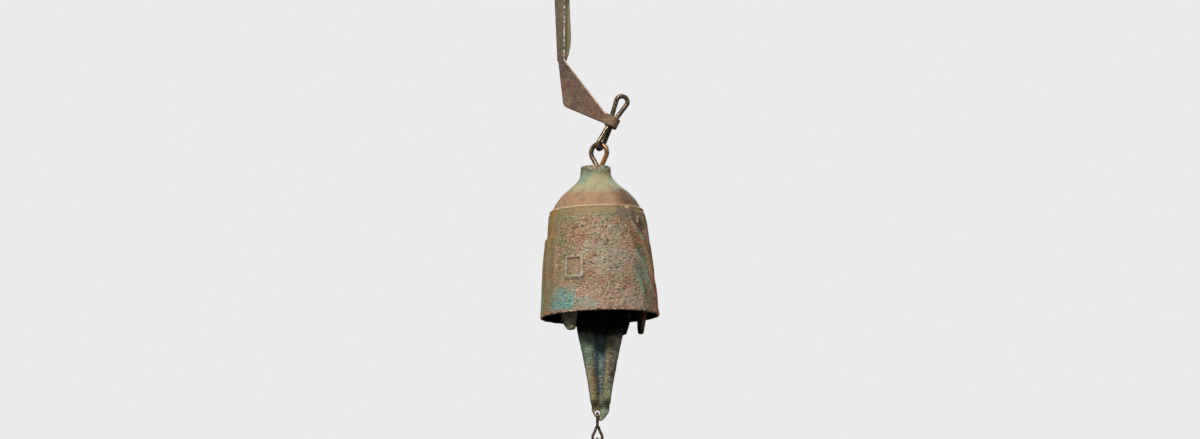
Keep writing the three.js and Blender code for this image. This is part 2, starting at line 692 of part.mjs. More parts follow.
function sailRing() {
  const ring = piece('sail_ring', wireGeometry(new OpenRing(RING_RADIUS), TAIL_WIRE), WIRE_BRONZE);
  ring.position.copy(ringMiddle);
  return ring;
}

// Sail, a thin plate with a shallow ridge down its middle, hung by one hole from the ring

function sailOutline() {
  const halfTop = SAIL_TOP_WIDTH / 2;
  const halfFoot = SAIL_FOOT_WIDTH / 2;
  const corners = [
    new THREE.Vector2(-halfFoot, -SAIL_HEIGHT),
    new THREE.Vector2(halfFoot, -SAIL_HEIGHT),
    new THREE.Vector2(halfTop, 0),
    new THREE.Vector2(-halfTop, 0),
  ];
  const outline = new THREE.Shape();
  corners.forEach((corner, i) => {
    const before = corners[(i + 3) % 4];
    const after = corners[(i + 1) % 4];
    const start = corner.clone().add(before.clone().sub(corner).setLength(SAIL_CORNER));
    const end = corner.clone().add(after.clone().sub(corner).setLength(SAIL_CORNER));
    if (i === 0) outline.moveTo(start.x, start.y);
    else outline.lineTo(start.x, start.y);
    outline.quadraticCurveTo(corner.x, corner.y, end.x, end.y);
  });
  outline.closePath();
  return outline;
}

function sail() {
  const half = SAIL_FOOT_WIDTH;
  const back = half * Math.tan(SAIL_FOLD);
  const section = new THREE.Shape();
  section.moveTo(0, -SAIL_SHEET / 2);
  section.lineTo(half, back - SAIL_SHEET / 2);
  section.lineTo(half, back + SAIL_SHEET / 2);
  section.lineTo(0, SAIL_SHEET / 2);
  section.lineTo(-half, back + SAIL_SHEET / 2);
  section.lineTo(-half, back - SAIL_SHEET / 2);
  section.closePath();
  const folded = new THREE.ExtrudeGeometry(section, { depth: OVERSHOOT * SAIL_HEIGHT, bevelEnabled: false });
  folded.translate(0, 0, (1 - OVERSHOOT) * SAIL_HEIGHT);
  const boreDepth = SAIL_MARGIN + SAIL_BORE / 2;
  const cut = solidOf(uprightPlate(sailOutline(), OVERSHOOT * SAIL_FOOT_WIDTH));
  const bore = solidOf(crossBar(SAIL_BORE, SAIL_FOOT_WIDTH, 0, -boreDepth));
  const plate = piece('sail', geometryOf(solidOf(folded).intersect(cut).subtract(bore)), SHEET_BRONZE);
  plate.position.copy(ringMiddle);
  plate.position.z += -RING_RADIUS + TAIL_WIRE / 2 + GAP + SAIL_MARGIN;
  return plate;
}

bell.add(bellShell(), bellLoop());

const windBell = new THREE.Group();
windBell.add(hangerArm(), hangerLink(), bell, clapperRod(), clapper(), ...tailChain(), sailRing(), sail());

export default windBell;
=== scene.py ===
"""Looks of a cast bronze wind bell on a folded sheet hanger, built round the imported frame.

Sizes are in millimetres until a mesh is made. +X is to the right of the photograph and +Y away from it.
A named pair that smooth() is given is where something starts and where it is complete.
"""

import math

import bmesh
import bpy
from mathutils import Matrix, Vector, noise


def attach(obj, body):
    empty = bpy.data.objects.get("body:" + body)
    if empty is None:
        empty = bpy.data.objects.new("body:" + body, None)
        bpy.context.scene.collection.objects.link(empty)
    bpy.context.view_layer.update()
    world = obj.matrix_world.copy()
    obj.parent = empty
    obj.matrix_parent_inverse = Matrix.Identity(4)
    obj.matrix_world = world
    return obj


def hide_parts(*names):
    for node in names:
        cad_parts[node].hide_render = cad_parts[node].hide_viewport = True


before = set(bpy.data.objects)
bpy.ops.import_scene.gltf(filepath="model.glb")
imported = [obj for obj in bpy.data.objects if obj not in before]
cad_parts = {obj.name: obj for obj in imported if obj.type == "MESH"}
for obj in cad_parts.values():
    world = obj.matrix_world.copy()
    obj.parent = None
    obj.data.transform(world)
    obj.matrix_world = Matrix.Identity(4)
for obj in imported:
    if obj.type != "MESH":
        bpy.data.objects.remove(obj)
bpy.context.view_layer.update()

MM = 0.001
QUARTER_TURN = math.pi / 2

# Fits and wire sizes
GAP = 0.3
STRAND_GAP = 0.4
BUTT_GAP = 0.5
HANGER_WIRE = 4.0
ROD_WIRE = 2.8
TAIL_WIRE = 2.4
WIRE_STEP = 0.45
WIRE_SIDES = 20
WIRE_DENT_SIZE = 3.5
WIRE_DENT_DEPTH = 0.05
CUT_END = math.radians(50)

# Hanger
SHEET = 1.6
EDGE_REACH = 28.6
EDGE_TOP = 33.0
EDGE_FOOT = 87.0
TOE_DEPTH = 139.3
TOE_WIDTH = 8.7
TOE_LENGTH = 8.0
LINK_TILT = math.radians(26.3)
LINK_TOP_REACH = 19.0
LINK_TOP_BOW = 4.7
LINK_BOTTOM_REACH = 20.0
LINK_BOTTOM_BOW = 4.8
LINK_TURN = math.radians(65)
LINK_PLAY = 0.8
ARM_VOXEL = 0.42

# Bell
RIM_RADIUS = 50.0
SHOULDER_RADIUS = 40.4
SEAM_RADIUS = 36.6
COLLAR_RADIUS = 12.8
SKIRT_HEIGHT = 85.5
SHOULDER_HEIGHT = 6.0
SHOULDER_BEND = 0.65
SEAM_LINE_DROP = 2.0
DOME_HEIGHT = 29.5
DOME_BEND = 0.55
DOME_SLOPE = math.radians(51.3)
DOME_FULLNESS = 0.7
COLLAR_HEIGHT = 6.6
COLLAR_ROUND = 2.4
CROWN_THICKNESS = 15.6
WALL = 3.2
LIP_ROUND = 1.0
BELL_LEAN = math.radians(1.7)
LOOP_OFFSET = 3.4
EYE_REACH = 18.7
EYE_BOW = 7.4
INNER_EYE_REACH = 13.5
INNER_EYE_BOW = 5.2
LOOP_PLAY = 0.8
BELL_SIDES = 400
OUTSIDE_STEP = 0.9
INSIDE_STEP = 3.0
DOME_STEPS = 16
SHOULDER_STEPS = 8
COLLAR_STEPS = 5
LIP_STEPS = 3

# Clapper
ROD_LENGTH = 56.0
ROD_EYE_REACH = 12.5
ROD_EYE_BOW = 4.4
LUG_THICKNESS = 3.2
LUG_WALL = 3.0
LUG_STEPS = 48
NECK_RADIUS = 6.0
NECK_DROP = 7.0
CROWN_RADIUS = 23.1
CROWN_DROP = 41.0
TAIL_RADIUS = 8.4
TAIL_DROP = 119.0
TAIL_FLARE = 1.25
TIP_DROP = 133.0
TIP_BLUNTNESS = 0.75
TIP_FLAT = 0.1
LOBE_SHARE = 0.42
FLUTE_FLOOR = 0.6
FLUTE_START = math.radians(23)
FLUTE_END = math.radians(35)
TONGUE_THICKNESS = 3.6
TONGUE_HEIGHT = 9.0
TAIL_BORE_DROP = 126.0
TAIL_BORE_OFFSET = -2.6
TAIL_BORE_SIDES = 40
FINGER_REACH = 39.6
FINGER_LEAN = 2.0
FINGER_THICKNESS = 5.0
FINGER_ROOT_THICKNESS = 8.0
FINGER_TIP_THICKNESS = 3.4
FINGER_WIDTH = 24.0
FINGER_CORNER = 1.6
FINGER_ROOT_DROP = 44.0
FINGER_SPRING_DROP = 19.0
FINGER_FULLNESS = 0.3
FINGER_BLUNTNESS = 0.6
FINGER_SQUARENESS = 0.6
FINGER_STATIONS = 40
FINGER_SIDES = 28
# Each finger's turn in degrees, its length below its root and its width at the tip
FINGERS = [(-44.0, 15.5, 8.5), (71.0, 17.5, 5.5), (148.0, 13.2, 6.0), (230.0, 7.5, 7.0)]
CLAPPER_SIDES = 96
CLAPPER_STATIONS = 150
CLAPPER_VOXEL = 0.6

# Tail chain and sail
TAIL_LINKS = 4
TAIL_REACH = 10.5
TAIL_BOW = 4.0
TAIL_WAIST = 3.0
RING_RADIUS = 5.6
SAIL_VOXEL = 0.5

# Size and depth of each surface's grain and of its slow lumps or dents
BELL_GRAIN = (2.1, 0.55)
BELL_LUMPS = (10.0, 0.2)
CLAPPER_GRAIN = (2.2, 0.16)
CLAPPER_LUMPS = (9.0, 0.25)
SHEET_GRAIN = (1.6, 0.03)
ARM_DENTS = (9.0, 0.12)
SAIL_DENTS = (6.0, 0.35)


# Small sums

def lerp(a, b, share):
    return a + (b - a) * share


def smooth(low, high, value):
    share = min(1.0, max(0.0, (value - low) / (high - low)))
    return share * share * (3 - 2 * share)


def peak(offset, width):
    """1 at no offset, falling to nothing within about two widths."""
    return math.exp(-(offset / width) ** 2)


def colour(red, green, blue):
    """A colour given as it looks on a screen, made linear."""
    return Vector([((part / 255 + 0.055) / 1.055) ** 2.4 for part in (red, green, blue)])


def layered(tint, coats):
    """A colour under coats of others. Each coat is a colour and the share of it that shows."""
    for shade, share in coats:
        tint = tint.lerp(shade, share)
    return tint


def speckle(place, size, shift=0.0):
    """Soft noise from 0 to 1, with blotches about a size across."""
    return 0.5 + 0.5 * noise.fractal(Vector(place) / size + Vector((shift, shift, shift)), 1.0, 2.0, 3)


# Places of the hanging pieces

hang_line = SHEET / 2 + HANGER_WIRE + STRAND_GAP / 2 + GAP
link_waist = TOE_WIDTH + 2 * LINK_PLAY
link_below_toe = link_waist / 2 + LINK_BOTTOM_REACH
link_axis = Vector((math.sin(LINK_TILT), 0, math.cos(LINK_TILT)))
tilted = Matrix.Rotation(LINK_TILT, 4, "Y")
bow_spread = tilted @ Vector((math.cos(LINK_TURN), math.sin(LINK_TURN), 0))
bow_down = -(link_axis * link_axis.z + bow_spread * bow_spread.z).normalized()
toe_to_bell = link_axis * (LINK_BOTTOM_BOW - link_below_toe) + bow_down * LINK_BOTTOM_BOW
bow_wire = bow_spread - bow_down * bow_spread.dot(bow_down)
toe = Vector((-toe_to_bell.x, hang_line, -TOE_DEPTH))
link_place = Matrix.Translation(toe + link_axis * (link_waist / 2 + LINK_TOP_REACH)) @ tilted

seam_height = SKIRT_HEIGHT + SHOULDER_HEIGHT
line_height = seam_height - SEAM_LINE_DROP
bell_height = seam_height + DOME_HEIGHT + COLLAR_HEIGHT
loop_crest = HANGER_WIRE + GAP
collar_top = loop_crest - EYE_REACH - LOOP_PLAY
loop_waist = CROWN_THICKNESS + 2 * LOOP_PLAY
inner_bow = loop_crest - EYE_REACH - loop_waist - INNER_EYE_REACH
eye_turn = math.atan2(bow_wire.y, bow_wire.x) - QUARTER_TURN
bell_place = Matrix.Translation(toe + toe_to_bell) @ Matrix.Rotation(-BELL_LEAN, 4, "Y")
shell_place = bell_place @ Matrix.Translation((-LOOP_OFFSET, 0, collar_top - bell_height))
loop_place = bell_place @ Matrix.Translation((0, 0, loop_crest)) @ Matrix.Rotation(eye_turn, 4, "Z")

rod_crest = bell_place @ Vector((0, 0, inner_bow))
rod_crest.z += (HANGER_WIRE + ROD_WIRE) / 2 + GAP
sideways = Matrix.Rotation(QUARTER_TURN, 4, "Z")
rod_place = Matrix.Translation(rod_crest) @ sideways
rod_waist = ROD_LENGTH - 2 * ROD_EYE_REACH
clapper_pivot = rod_crest - Vector((0, 0, ROD_LENGTH))
tail_pitch = 2 * TAIL_REACH + TAIL_WAIST - TAIL_WIRE - GAP
chain_crest = clapper_pivot + Vector((TAIL_BORE_OFFSET, 0, -TAIL_BORE_DROP - GAP))
ring_middle = chain_crest - Vector((0, 0, TAIL_LINKS * tail_pitch + RING_RADIUS))


# Meshes

ROUNDING = 0.5
MERGE_MADE = 0.00002
MERGE_SOLID = 0.000005


def new_piece(name, points, faces, edges=()):
    """A mesh object from points in millimetres. Its place is in its mesh."""
    mesh = bpy.data.meshes.new(name)
    mesh.from_pydata([Vector(point) * MM for point in points], list(edges), faces)
    mesh.update()
    piece = bpy.data.objects.new(name, mesh)
    bpy.context.collection.objects.link(piece)
    return piece


def ring_faces(rings, sides, closed_end=False):
    """Quads between rings of points. With a closed end the last ring joins the first."""
    faces = []
    steps = rings if closed_end else rings - 1
    for i in range(steps):
        near = i * sides
        far = ((i + 1) % rings) * sides
        for j in range(sides):
            after = (j + 1) % sides
            faces.append((near + j, near + after, far + after, far + j))
    return faces


def solid_rings(rings):
    """Points and faces of a solid from rings of points, its two ends closed."""
    sides = len(rings[0])
    points = [point for ring in rings for point in ring]
    faces = ring_faces(len(rings), sides)
    faces.append(tuple(range(sides - 1, -1, -1)))
    faces.append(tuple(range(len(points) - sides, len(points))))
    return points, faces


def set_values(piece, name, values):
    layer = piece.data.attributes.new(name, "FLOAT", "POINT")
    layer.data.foreach_set("value", values)


def paint(piece, grains, bares, tints):
    """Gives each point of a piece its roughness, its share of bare metal and its patina's colour."""
    set_values(piece, "grain", grains)
    set_values(piece, "bare", bares)
    layer = piece.data.attributes.new("tint", "FLOAT_COLOR", "POINT")
    layer.data.foreach_set("color", [part for tint in tints for part in (*tint, 1.0)])


def as_plain_mesh(piece):
    """Applies what the modifiers give and removes them."""
    graph = bpy.context.evaluated_depsgraph_get()
    made = piece.evaluated_get(graph)
    done = bpy.data.meshes.new_from_object(made, preserve_all_data_layers=True, depsgraph=graph)
    piece.modifiers.clear()
    old = piece.data
    piece.data = done
    bpy.data.meshes.remove(old)


def outward(piece):
    """Merges doubles and turns every face outwards."""
    work = bmesh.new()
    work.from_mesh(piece.data)
    bmesh.ops.remove_doubles(work, verts=work.verts, dist=MERGE_MADE)
    bmesh.ops.recalc_face_normals(work, faces=work.faces)
    work.to_mesh(piece.data)
    work.free()
    piece.data.update()


def fused(piece, voxel, softening):
    """Makes one closed skin of a piece that is made of several, and rounds its edges."""
    remesh = piece.modifiers.new("one_skin", "REMESH")
    remesh.mode = "VOXEL"
    remesh.voxel_size = voxel * MM
    soften = piece.modifiers.new("worn_round", "SMOOTH")
    soften.factor = ROUNDING
    soften.iterations = softening
    as_plain_mesh(piece)


# Geometry node trees

class Tree:
    """A node tree being built: nodes by kind, links by socket."""

    def __init__(self, tree):
        self.tree = tree

    def add(self, kind, settings=None, **inputs):
        node = self.tree.nodes.new(kind)
        for key, value in (settings or {}).items():
            setattr(node, key, value)
        for key, value in inputs.items():
            self.feed(node.inputs[key.replace("_", " ")], value)
        return node

    def feed(self, socket, value):
        if isinstance(value, bpy.types.NodeSocket):
            self.tree.links.new(value, socket)
        else:
            socket.default_value = value

    def sum(self, operation, *values):
        node = self.add("ShaderNodeMath", {"operation": operation})
        for socket, value in zip(node.inputs, values):
            self.feed(socket, value)
        return node.outputs[0]

    def stretch(self, value, low, high, start=0.0, end=1.0):
        """Maps a range of a value smoothly onto another."""
        node = self.add("ShaderNodeMapRange", {"interpolation_type": "SMOOTHSTEP"})
        for socket, part in zip(node.inputs, (value, low, high, start, end)):
            self.feed(socket, part)
        return node.outputs[0]


def geometry_tree(name, inputs):
    group = bpy.data.node_groups.new(name, "GeometryNodeTree")
    group.interface.new_socket("Geometry", in_out="INPUT", socket_type="NodeSocketGeometry")
    group.interface.new_socket("Geometry", in_out="OUTPUT", socket_type="NodeSocketGeometry")
    for label, kind in inputs:
        group.interface.new_socket(label, in_out="INPUT", socket_type="NodeSocket" + kind)
    work = Tree(group)
    return work, work.add("NodeGroupInput").outputs


def end_tree(work, geometry, finish):
    """Smooth shading, whole meshes in place of instances, and the finish."""
    rounded = work.add("GeometryNodeSetShadeSmooth", Geometry=geometry)
    whole = work.add("GeometryNodeRealizeInstances", Geometry=rounded.outputs[0])
    dressed = work.add("GeometryNodeSetMaterial", Geometry=whole.outputs[0], Material=finish)
    work.add("NodeGroupOutput", Geometry=dressed.outputs[0])


def grow(piece, group, values):
    """Runs a tree on a piece, its named inputs set by their identifiers, and keeps the plain mesh."""
    modifier = piece.modifiers.new(group.name, "NODES")
    modifier.node_group = group
    for item in group.interface.items_tree:
        if item.in_out == "INPUT" and item.name in values:
            modifier[item.identifier] = values[item.name]
    as_plain_mesh(piece)


BUMP_FLATNESS = 2.0
BUMP_DETAIL = 2.0
BUMP_SPREAD = 3.0


def bumps(work, size, seed):
    """Noise from about -1 to 1 at each point, with bumps about a size across and flatter than wide."""
    scale = work.sum("DIVIDE", 1.0, size)
    place = work.add("ShaderNodeVectorMath", {"operation": "MULTIPLY"})
    work.feed(place.inputs[0], work.add("GeometryNodeInputPosition").outputs[0])
    place.inputs[1].default_value = (1.0, 1.0, BUMP_FLATNESS)
    grain = work.add("ShaderNodeTexNoise", {"noise_dimensions": "4D"}, Vector=place.outputs[0], W=seed,
                     Scale=scale, Detail=BUMP_DETAIL)
    middle = work.sum("SUBTRACT", grain.outputs[0], 0.5)
    return work.sum("MULTIPLY", middle, BUMP_SPREAD)


def pushed_out(work, geometry, amount):
    normal = work.add("GeometryNodeInputNormal")
    push = work.add("ShaderNodeVectorMath", {"operation": "SCALE"})
    work.feed(push.inputs[0], normal.outputs[0])
    work.feed(push.inputs["Scale"], amount)
    return work.add("GeometryNodeSetPosition", Geometry=geometry, Offset=push.outputs[0]).outputs[0]


def bent_wire_tree():
    """A round wire along a line of points, a little dented, with flat cut ends."""
    work, given = geometry_tree("bent_wire", [
        ("Wire Radius", "Float"), ("Section Sides", "Int"), ("Dent Size", "Float"), ("Dent Depth", "Float"),
        ("Seed", "Float"), ("Finish", "Material")])
    line = work.add("GeometryNodeMeshToCurve", Mesh=given["Geometry"])
    section = work.add("GeometryNodeCurvePrimitiveCircle", Resolution=given["Section Sides"],
                       Radius=given["Wire Radius"])
    wire = work.add("GeometryNodeCurveToMesh", Curve=line.outputs[0], Profile_Curve=section.outputs[0])
    wire.inputs["Fill Caps"].default_value = True
    dents = work.sum("MULTIPLY", bumps(work, given["Dent Size"], given["Seed"]), given["Dent Depth"])
    end_tree(work, pushed_out(work, wire.outputs[0], dents), given["Finish"])
    return work.tree


def cast_skin_tree():
    """The skin of a sand casting: grain where the piece's own grain value says, over slow lumps."""
    work, given = geometry_tree("cast_skin", [
        ("Grain Size", "Float"), ("Grain Depth", "Float"), ("Lump Size", "Float"), ("Lump Depth", "Float"),
        ("Seed", "Float"), ("Finish", "Material")])
    amount = work.add("GeometryNodeInputNamedAttribute", {"data_type": "FLOAT"}, Name="grain")
    grain = bumps(work, given["Grain Size"], given["Seed"])
    rough = work.sum("MULTIPLY", work.sum("MULTIPLY", grain, given["Grain Depth"]), amount.outputs[0])
    lumps = work.sum("MULTIPLY", bumps(work, given["Lump Size"], given["Seed"]), given["Lump Depth"])
    pits = work.sum("MULTIPLY", grain, amount.outputs[0])
    kept = work.add("GeometryNodeStoreNamedAttribute", {"data_type": "FLOAT", "domain": "POINT"},
                    Geometry=given["Geometry"], Name="pit", Value=pits)
    end_tree(work, pushed_out(work, kept.outputs[0], work.sum("ADD", rough, lumps)), given["Finish"])
    return work.tree


BENT_WIRE = bent_wire_tree()
CAST_SKIN = cast_skin_tree()


def cast_over(piece, grain, lumps, seed, finish):
    """Grows a casting's skin on a painted piece. Grain and lumps are each a size and a depth."""
    grow(piece, CAST_SKIN, {
        "Grain Size": grain[0] * MM, "Grain Depth": grain[1] * MM,
        "Lump Size": lumps[0] * MM, "Lump Depth": lumps[1] * MM,
        "Seed": seed, "Finish": finish})


# Colours of the metal and its patina

RUST_BROWN = colour(153, 119, 87)
ROSE_BROWN = colour(164, 133, 110)
OCHRE = colour(170, 126, 74)
OLIVE_BROWN = colour(141, 128, 86)
DOME_OLIVE = colour(177, 169, 133)
DOME_ORANGE = colour(169, 136, 106)
PALE_GREEN = colour(138, 166, 142)
FLECK_GREEN = colour(178, 190, 166)
FLECK_PINK = colour(216, 184, 158)
COOL_OLIVE = colour(118, 136, 102)
TURQUOISE = colour(100, 162, 150)
GREY_GREEN = colour(108, 122, 102)
EDGE_ORANGE = colour(170, 110, 74)
# A dark colour used both for soot in the patina and for painted shade
SOOT_AND_SHADE = colour(52, 45, 38)
SMOKE = colour(112, 96, 86)
# Painted shade: brown to black inside the bell; the black also on the clapper's crown and shaded fingers
INSIDE_SHADE_BROWN = colour(34, 25, 19)
PAINTED_SHADE_BLACK = colour(9, 8, 7)
CREAM = colour(224, 182, 132)
PINK_METAL = colour(250, 222, 200)
PALE_DUST = colour(230, 214, 194)
WIRE_BROWN = colour(122, 97, 74)
WIRE_DARK = colour(64, 55, 46)
WIRE_OLIVE = colour(160, 142, 110)
WIRE_WARM = colour(190, 130, 70)
GREEN_LOBE = colour(112, 142, 114)
OCHRE_LOBE = colour(144, 119, 70)
BROWN_LOBE = colour(96, 85, 69)
GREEN_FOOT = colour(134, 154, 116)
FLUTE_BLUE = colour(104, 138, 144)
# Painted reflection of the sky in the flutes, within the painted shade
FLUTE_SHADE_SHEEN = colour(22, 27, 32)
# Painted light on the clapper's tail
OLIVE_PAINTED_LIGHT = colour(150, 140, 92)
FINGER_OLIVE = colour(150, 130, 84)
ARM_OLIVE = colour(84, 76, 53)
ARM_BROWN = colour(70, 53, 41)
FIN_BROWN = colour(96, 67, 52)
# Olive with painted light, for the hanger's rear flange
REAR_LIT_OLIVE = colour(146, 138, 108)


# Finishes

NOISE_ROUGHNESS = 0.55
MIX_SHARE = 0
MIX_FIRST = 6
MIX_SECOND = 7
MIX_RESULT = 2


class Finish(Tree):
    """A finish: nodes that read the piece's own place and its painted values."""

    def __init__(self, name):
        self.material = bpy.data.materials.new(name)
        self.material.use_nodes = True
        super().__init__(self.material.node_tree)
        self.shader = self.tree.nodes["Principled BSDF"]
        self.place = self.add("ShaderNodeTexCoord").outputs["Object"]

    def value(self, name):
        return self.add("ShaderNodeAttribute", {"attribute_name": name}).outputs["Fac"]

    def painted(self, name):
        return self.add("ShaderNodeAttribute", {"attribute_name": name}).outputs["Color"]

    def noise(self, size, detail=3.0, stretch=(1.0, 1.0, 1.0)):
        """Noise with blotches about a size in millimetres, drawn out along the axes."""
        spread = self.add("ShaderNodeMapping", Vector=self.place)
        spread.inputs["Scale"].default_value = [1 / (size * MM * part) for part in stretch]
        grain = self.add("ShaderNodeTexNoise", Vector=spread.outputs[0], Scale=1.0, Detail=detail,
                         Roughness=NOISE_ROUGHNESS)
        return grain.outputs[0]

    def relief(self, height, steepness):
        """A noise made into heights about 0."""
        return self.sum("MULTIPLY", self.sum("SUBTRACT", height, 0.5), steepness)

    def mix(self, share, first, second):
        """A mix of two colours. Each is a node's output or a plain colour."""
        node = self.add("ShaderNodeMix", {"data_type": "RGBA", "clamp_factor": True})
        self.feed(node.inputs[MIX_SHARE], share)
        for index, shade in ((MIX_FIRST, first), (MIX_SECOND, second)):
            self.feed(node.inputs[index], shade if isinstance(shade, bpy.types.NodeSocket) else (*shade, 1.0))
        return node.outputs[MIX_RESULT]

    def bump(self, height, depth):
        """A height of about 0 to 1 as a bump of a depth in millimetres."""
        node = self.add("ShaderNodeBump", Height=height, Distance=depth * MM, Strength=1.0)
        self.feed(self.shader.inputs["Normal"], node.outputs[0])

    def shade(self, base, metal, rough):
        self.feed(self.shader.inputs["Base Color"], base)
        self.feed(self.shader.inputs["Metallic"], metal)
        self.feed(self.shader.inputs["Roughness"], rough)
        return self.material


def cast_finish(name, warm, cool, warm_fleck, cool_fleck, blotching, speckling):
    """Waxed sand-cast bronze: painted zones and blotches, pale flecks on raised grain that are part colour
    and part painted highlight, pits darkened with part patina and part painted shade, and small painted
    glints besides worn bare metal.
    """
    work = Finish(name)
    blotch = work.noise(size=7.0, detail=4.0, stretch=(1.3, 1.3, 0.8))
    coarse = work.noise(size=3.4, detail=2.0)
    grain = work.noise(size=1.4, detail=2.0, stretch=(1.8, 1.8, 0.75))
    fine = work.noise(size=0.9, detail=2.0)
    amount = work.value("grain")
    bare = work.value("bare")
    zone = work.painted("tint")
    spread = work.sum("MULTIPLY", amount, blotching)
    warmed = work.mix(work.sum("MULTIPLY", work.stretch(blotch, 0.5, 0.7), spread), zone, warm)
    mottled = work.mix(work.sum("MULTIPLY", work.stretch(blotch, 0.5, 0.3), spread), warmed, cool)
    height = work.sum("ADD", work.relief(grain, speckling), work.relief(coarse, 0.6))
    ragged = work.sum("MULTIPLY_ADD", work.value("pit"), 0.95, height)
    # Pale flecks on the raised grain: part the metal's own colour, part painted highlight
    high = work.sum("MULTIPLY", work.stretch(ragged, 0.0, 0.8, 0.0, 0.95), amount)
    fleck = work.mix(work.stretch(blotch, 0.4, 0.6), cool_fleck, warm_fleck)
    local = work.mix(0.5, fleck, work.mix(0.5, zone, PALE_DUST))
    flecked = work.mix(high, mottled, local)
    # Pits darkened: part dark patina, part painted shade in the hollows
    low = work.sum("MULTIPLY", work.stretch(ragged, -0.1, -0.72), amount)
    pitted = work.mix(low, flecked, SOOT_AND_SHADE)
    # Small painted glints where the grain stands high
    spark = work.sum("MULTIPLY", work.stretch(fine, 0.57, 0.67, 0.0, 0.9), high)
    glint = work.sum("MAXIMUM", spark, work.sum("MULTIPLY", bare, work.stretch(fine, 0.35, 0.6)))
    base = work.mix(glint, pitted, PINK_METAL)
    metal = work.sum("MULTIPLY_ADD", glint, 0.2, 0.12)
    sheen = work.sum("MULTIPLY", amount, work.stretch(coarse, 0.3, 0.7, 0.42, 0.3))
    work.feed(work.shader.inputs["Specular IOR Level"], work.stretch(amount, 0.0, 0.8, 0.0, 0.5))
    work.bump(work.sum("MULTIPLY_ADD", fine, 0.25, work.sum("MULTIPLY", grain, amount)), depth=1.2)
    return work.shade(base, metal, work.sum("SUBTRACT", 0.82, sheen))


def sheet_finish(name):
    """Aged sheet bronze: faint streaks along the strip, blotches, and bright metal where edges are worn."""
    work = Finish(name)
    streak = work.noise(size=1.8, stretch=(1.0, 1.0, 12.0))
    blotch = work.noise(size=11.0)
    fine = work.noise(size=0.9)
    bare = work.value("bare")
    zone = work.painted("tint")
    dark = work.mix(work.stretch(streak, 0.45, 0.75, 0.0, 0.4), zone, SOOT_AND_SHADE)
    green = work.mix(work.stretch(blotch, 0.48, 0.75, 0.0, 0.3), dark, OLIVE_BROWN)
    rust = work.mix(work.stretch(blotch, 0.5, 0.28, 0.0, 0.2), green, EDGE_ORANGE)
    speck = work.mix(work.stretch(fine, 0.52, 0.72, 0.0, 0.4), rust, FLECK_GREEN)
    pitted = work.mix(work.stretch(fine, 0.48, 0.3, 0.0, 0.5), speck, SOOT_AND_SHADE)
    glint = work.sum("MULTIPLY", bare, work.stretch(fine, 0.3, 0.5))
    base = work.mix(glint, pitted, PINK_METAL)
    metal = work.sum("MULTIPLY_ADD", glint, 0.1, 0.3)
    dull = work.stretch(blotch, 0.3, 0.7, 0.5, 0.68)
    work.bump(work.sum("MULTIPLY_ADD", fine, 0.6, blotch), depth=0.5)
    return work.shade(base, metal, work.sum("SUBTRACT", dull, work.sum("MULTIPLY", glint, 0.2)))


LOOP_WARM_SIDE = (0.5, 3.0)
LOOP_WARM_DROP = (-164.0, -173.0)
WIRE_METAL = 0.55


def wire_finish(name, warm_side=None, warm_drop=None):
    """Dark drawn wire, worn lighter in places. With a side and a drop, it turns warm and bright there."""
    work = Finish(name)
    blotch = work.noise(size=5.0, detail=4.0)
    fine = work.noise(size=1.0)
    brown = work.mix(work.stretch(blotch, 0.38, 0.62), WIRE_DARK, WIRE_BROWN)
    base = work.mix(work.stretch(fine, 0.5, 0.7, 0.0, 0.6), brown, WIRE_OLIVE)
    if warm_side:
        place = work.add("ShaderNodeSeparateXYZ", Vector=work.place).outputs
        low = work.stretch(place["Z"], warm_drop[0] * MM, warm_drop[1] * MM, 0.25, 1.0)
        right = work.stretch(place["X"], warm_side[0] * MM, warm_side[1] * MM, 0.0, 0.9)
        warmth = work.sum("MULTIPLY", work.sum("MULTIPLY", right, low), work.stretch(blotch, 0.3, 0.5))
        base = work.mix(warmth, base, WIRE_WARM)
    work.bump(work.sum("MULTIPLY_ADD", fine, 0.3, blotch), depth=0.07)
    return work.shade(base, WIRE_METAL, work.stretch(fine, 0.3, 0.7, 0.2, 0.36))


CAST_BRONZE = cast_finish("cast_bronze", warm=EDGE_ORANGE, cool=COOL_OLIVE, warm_fleck=FLECK_PINK,
                          cool_fleck=FLECK_GREEN, blotching=0.5, speckling=1.9)
CLAPPER_BRONZE = cast_finish("clapper_bronze", warm=WIRE_BROWN, cool=GREY_GREEN, warm_fleck=WIRE_OLIVE,
                             cool_fleck=PALE_GREEN, blotching=0.2, speckling=2.6)
SHEET_BRONZE = sheet_finish("sheet_bronze")
WIRE_BRONZE = wire_finish("wire_bronze")
LOOP_BRONZE = wire_finish("loop_bronze", LOOP_WARM_SIDE, LOOP_WARM_DROP)


# Wires

class WireLoop:
    """A round bow and two straight legs that close up at its neck."""

    def __init__(self, bow, reach, half_spread):
        drop = reach - bow
        neck = math.hypot(drop, half_spread)
        self.bow = bow
        self.reach = reach
        self.half_spread = half_spread
        self.open = math.atan2(half_spread, drop) + math.acos(bow / neck)
        self.leg = math.sqrt(neck * neck - bow * bow)
        self.length = 2 * self.leg + 2 * bow * (math.pi - self.open)

    def at(self, distance):
        """Offset from the axis and depth below the crest, going round from one leg to the other."""
        if distance > self.length / 2:
            offset, depth = self.at(self.length - distance)
            return -offset, depth
        if distance < self.leg:
            share = distance / self.leg
            offset = lerp(self.half_spread, self.bow * math.sin(self.open), share)
            return offset, lerp(self.reach, self.bow * (1 + math.cos(self.open)), share)
        angle = self.open + (distance - self.leg) / self.bow
        return self.bow * math.sin(angle), self.bow * (1 + math.cos(angle))


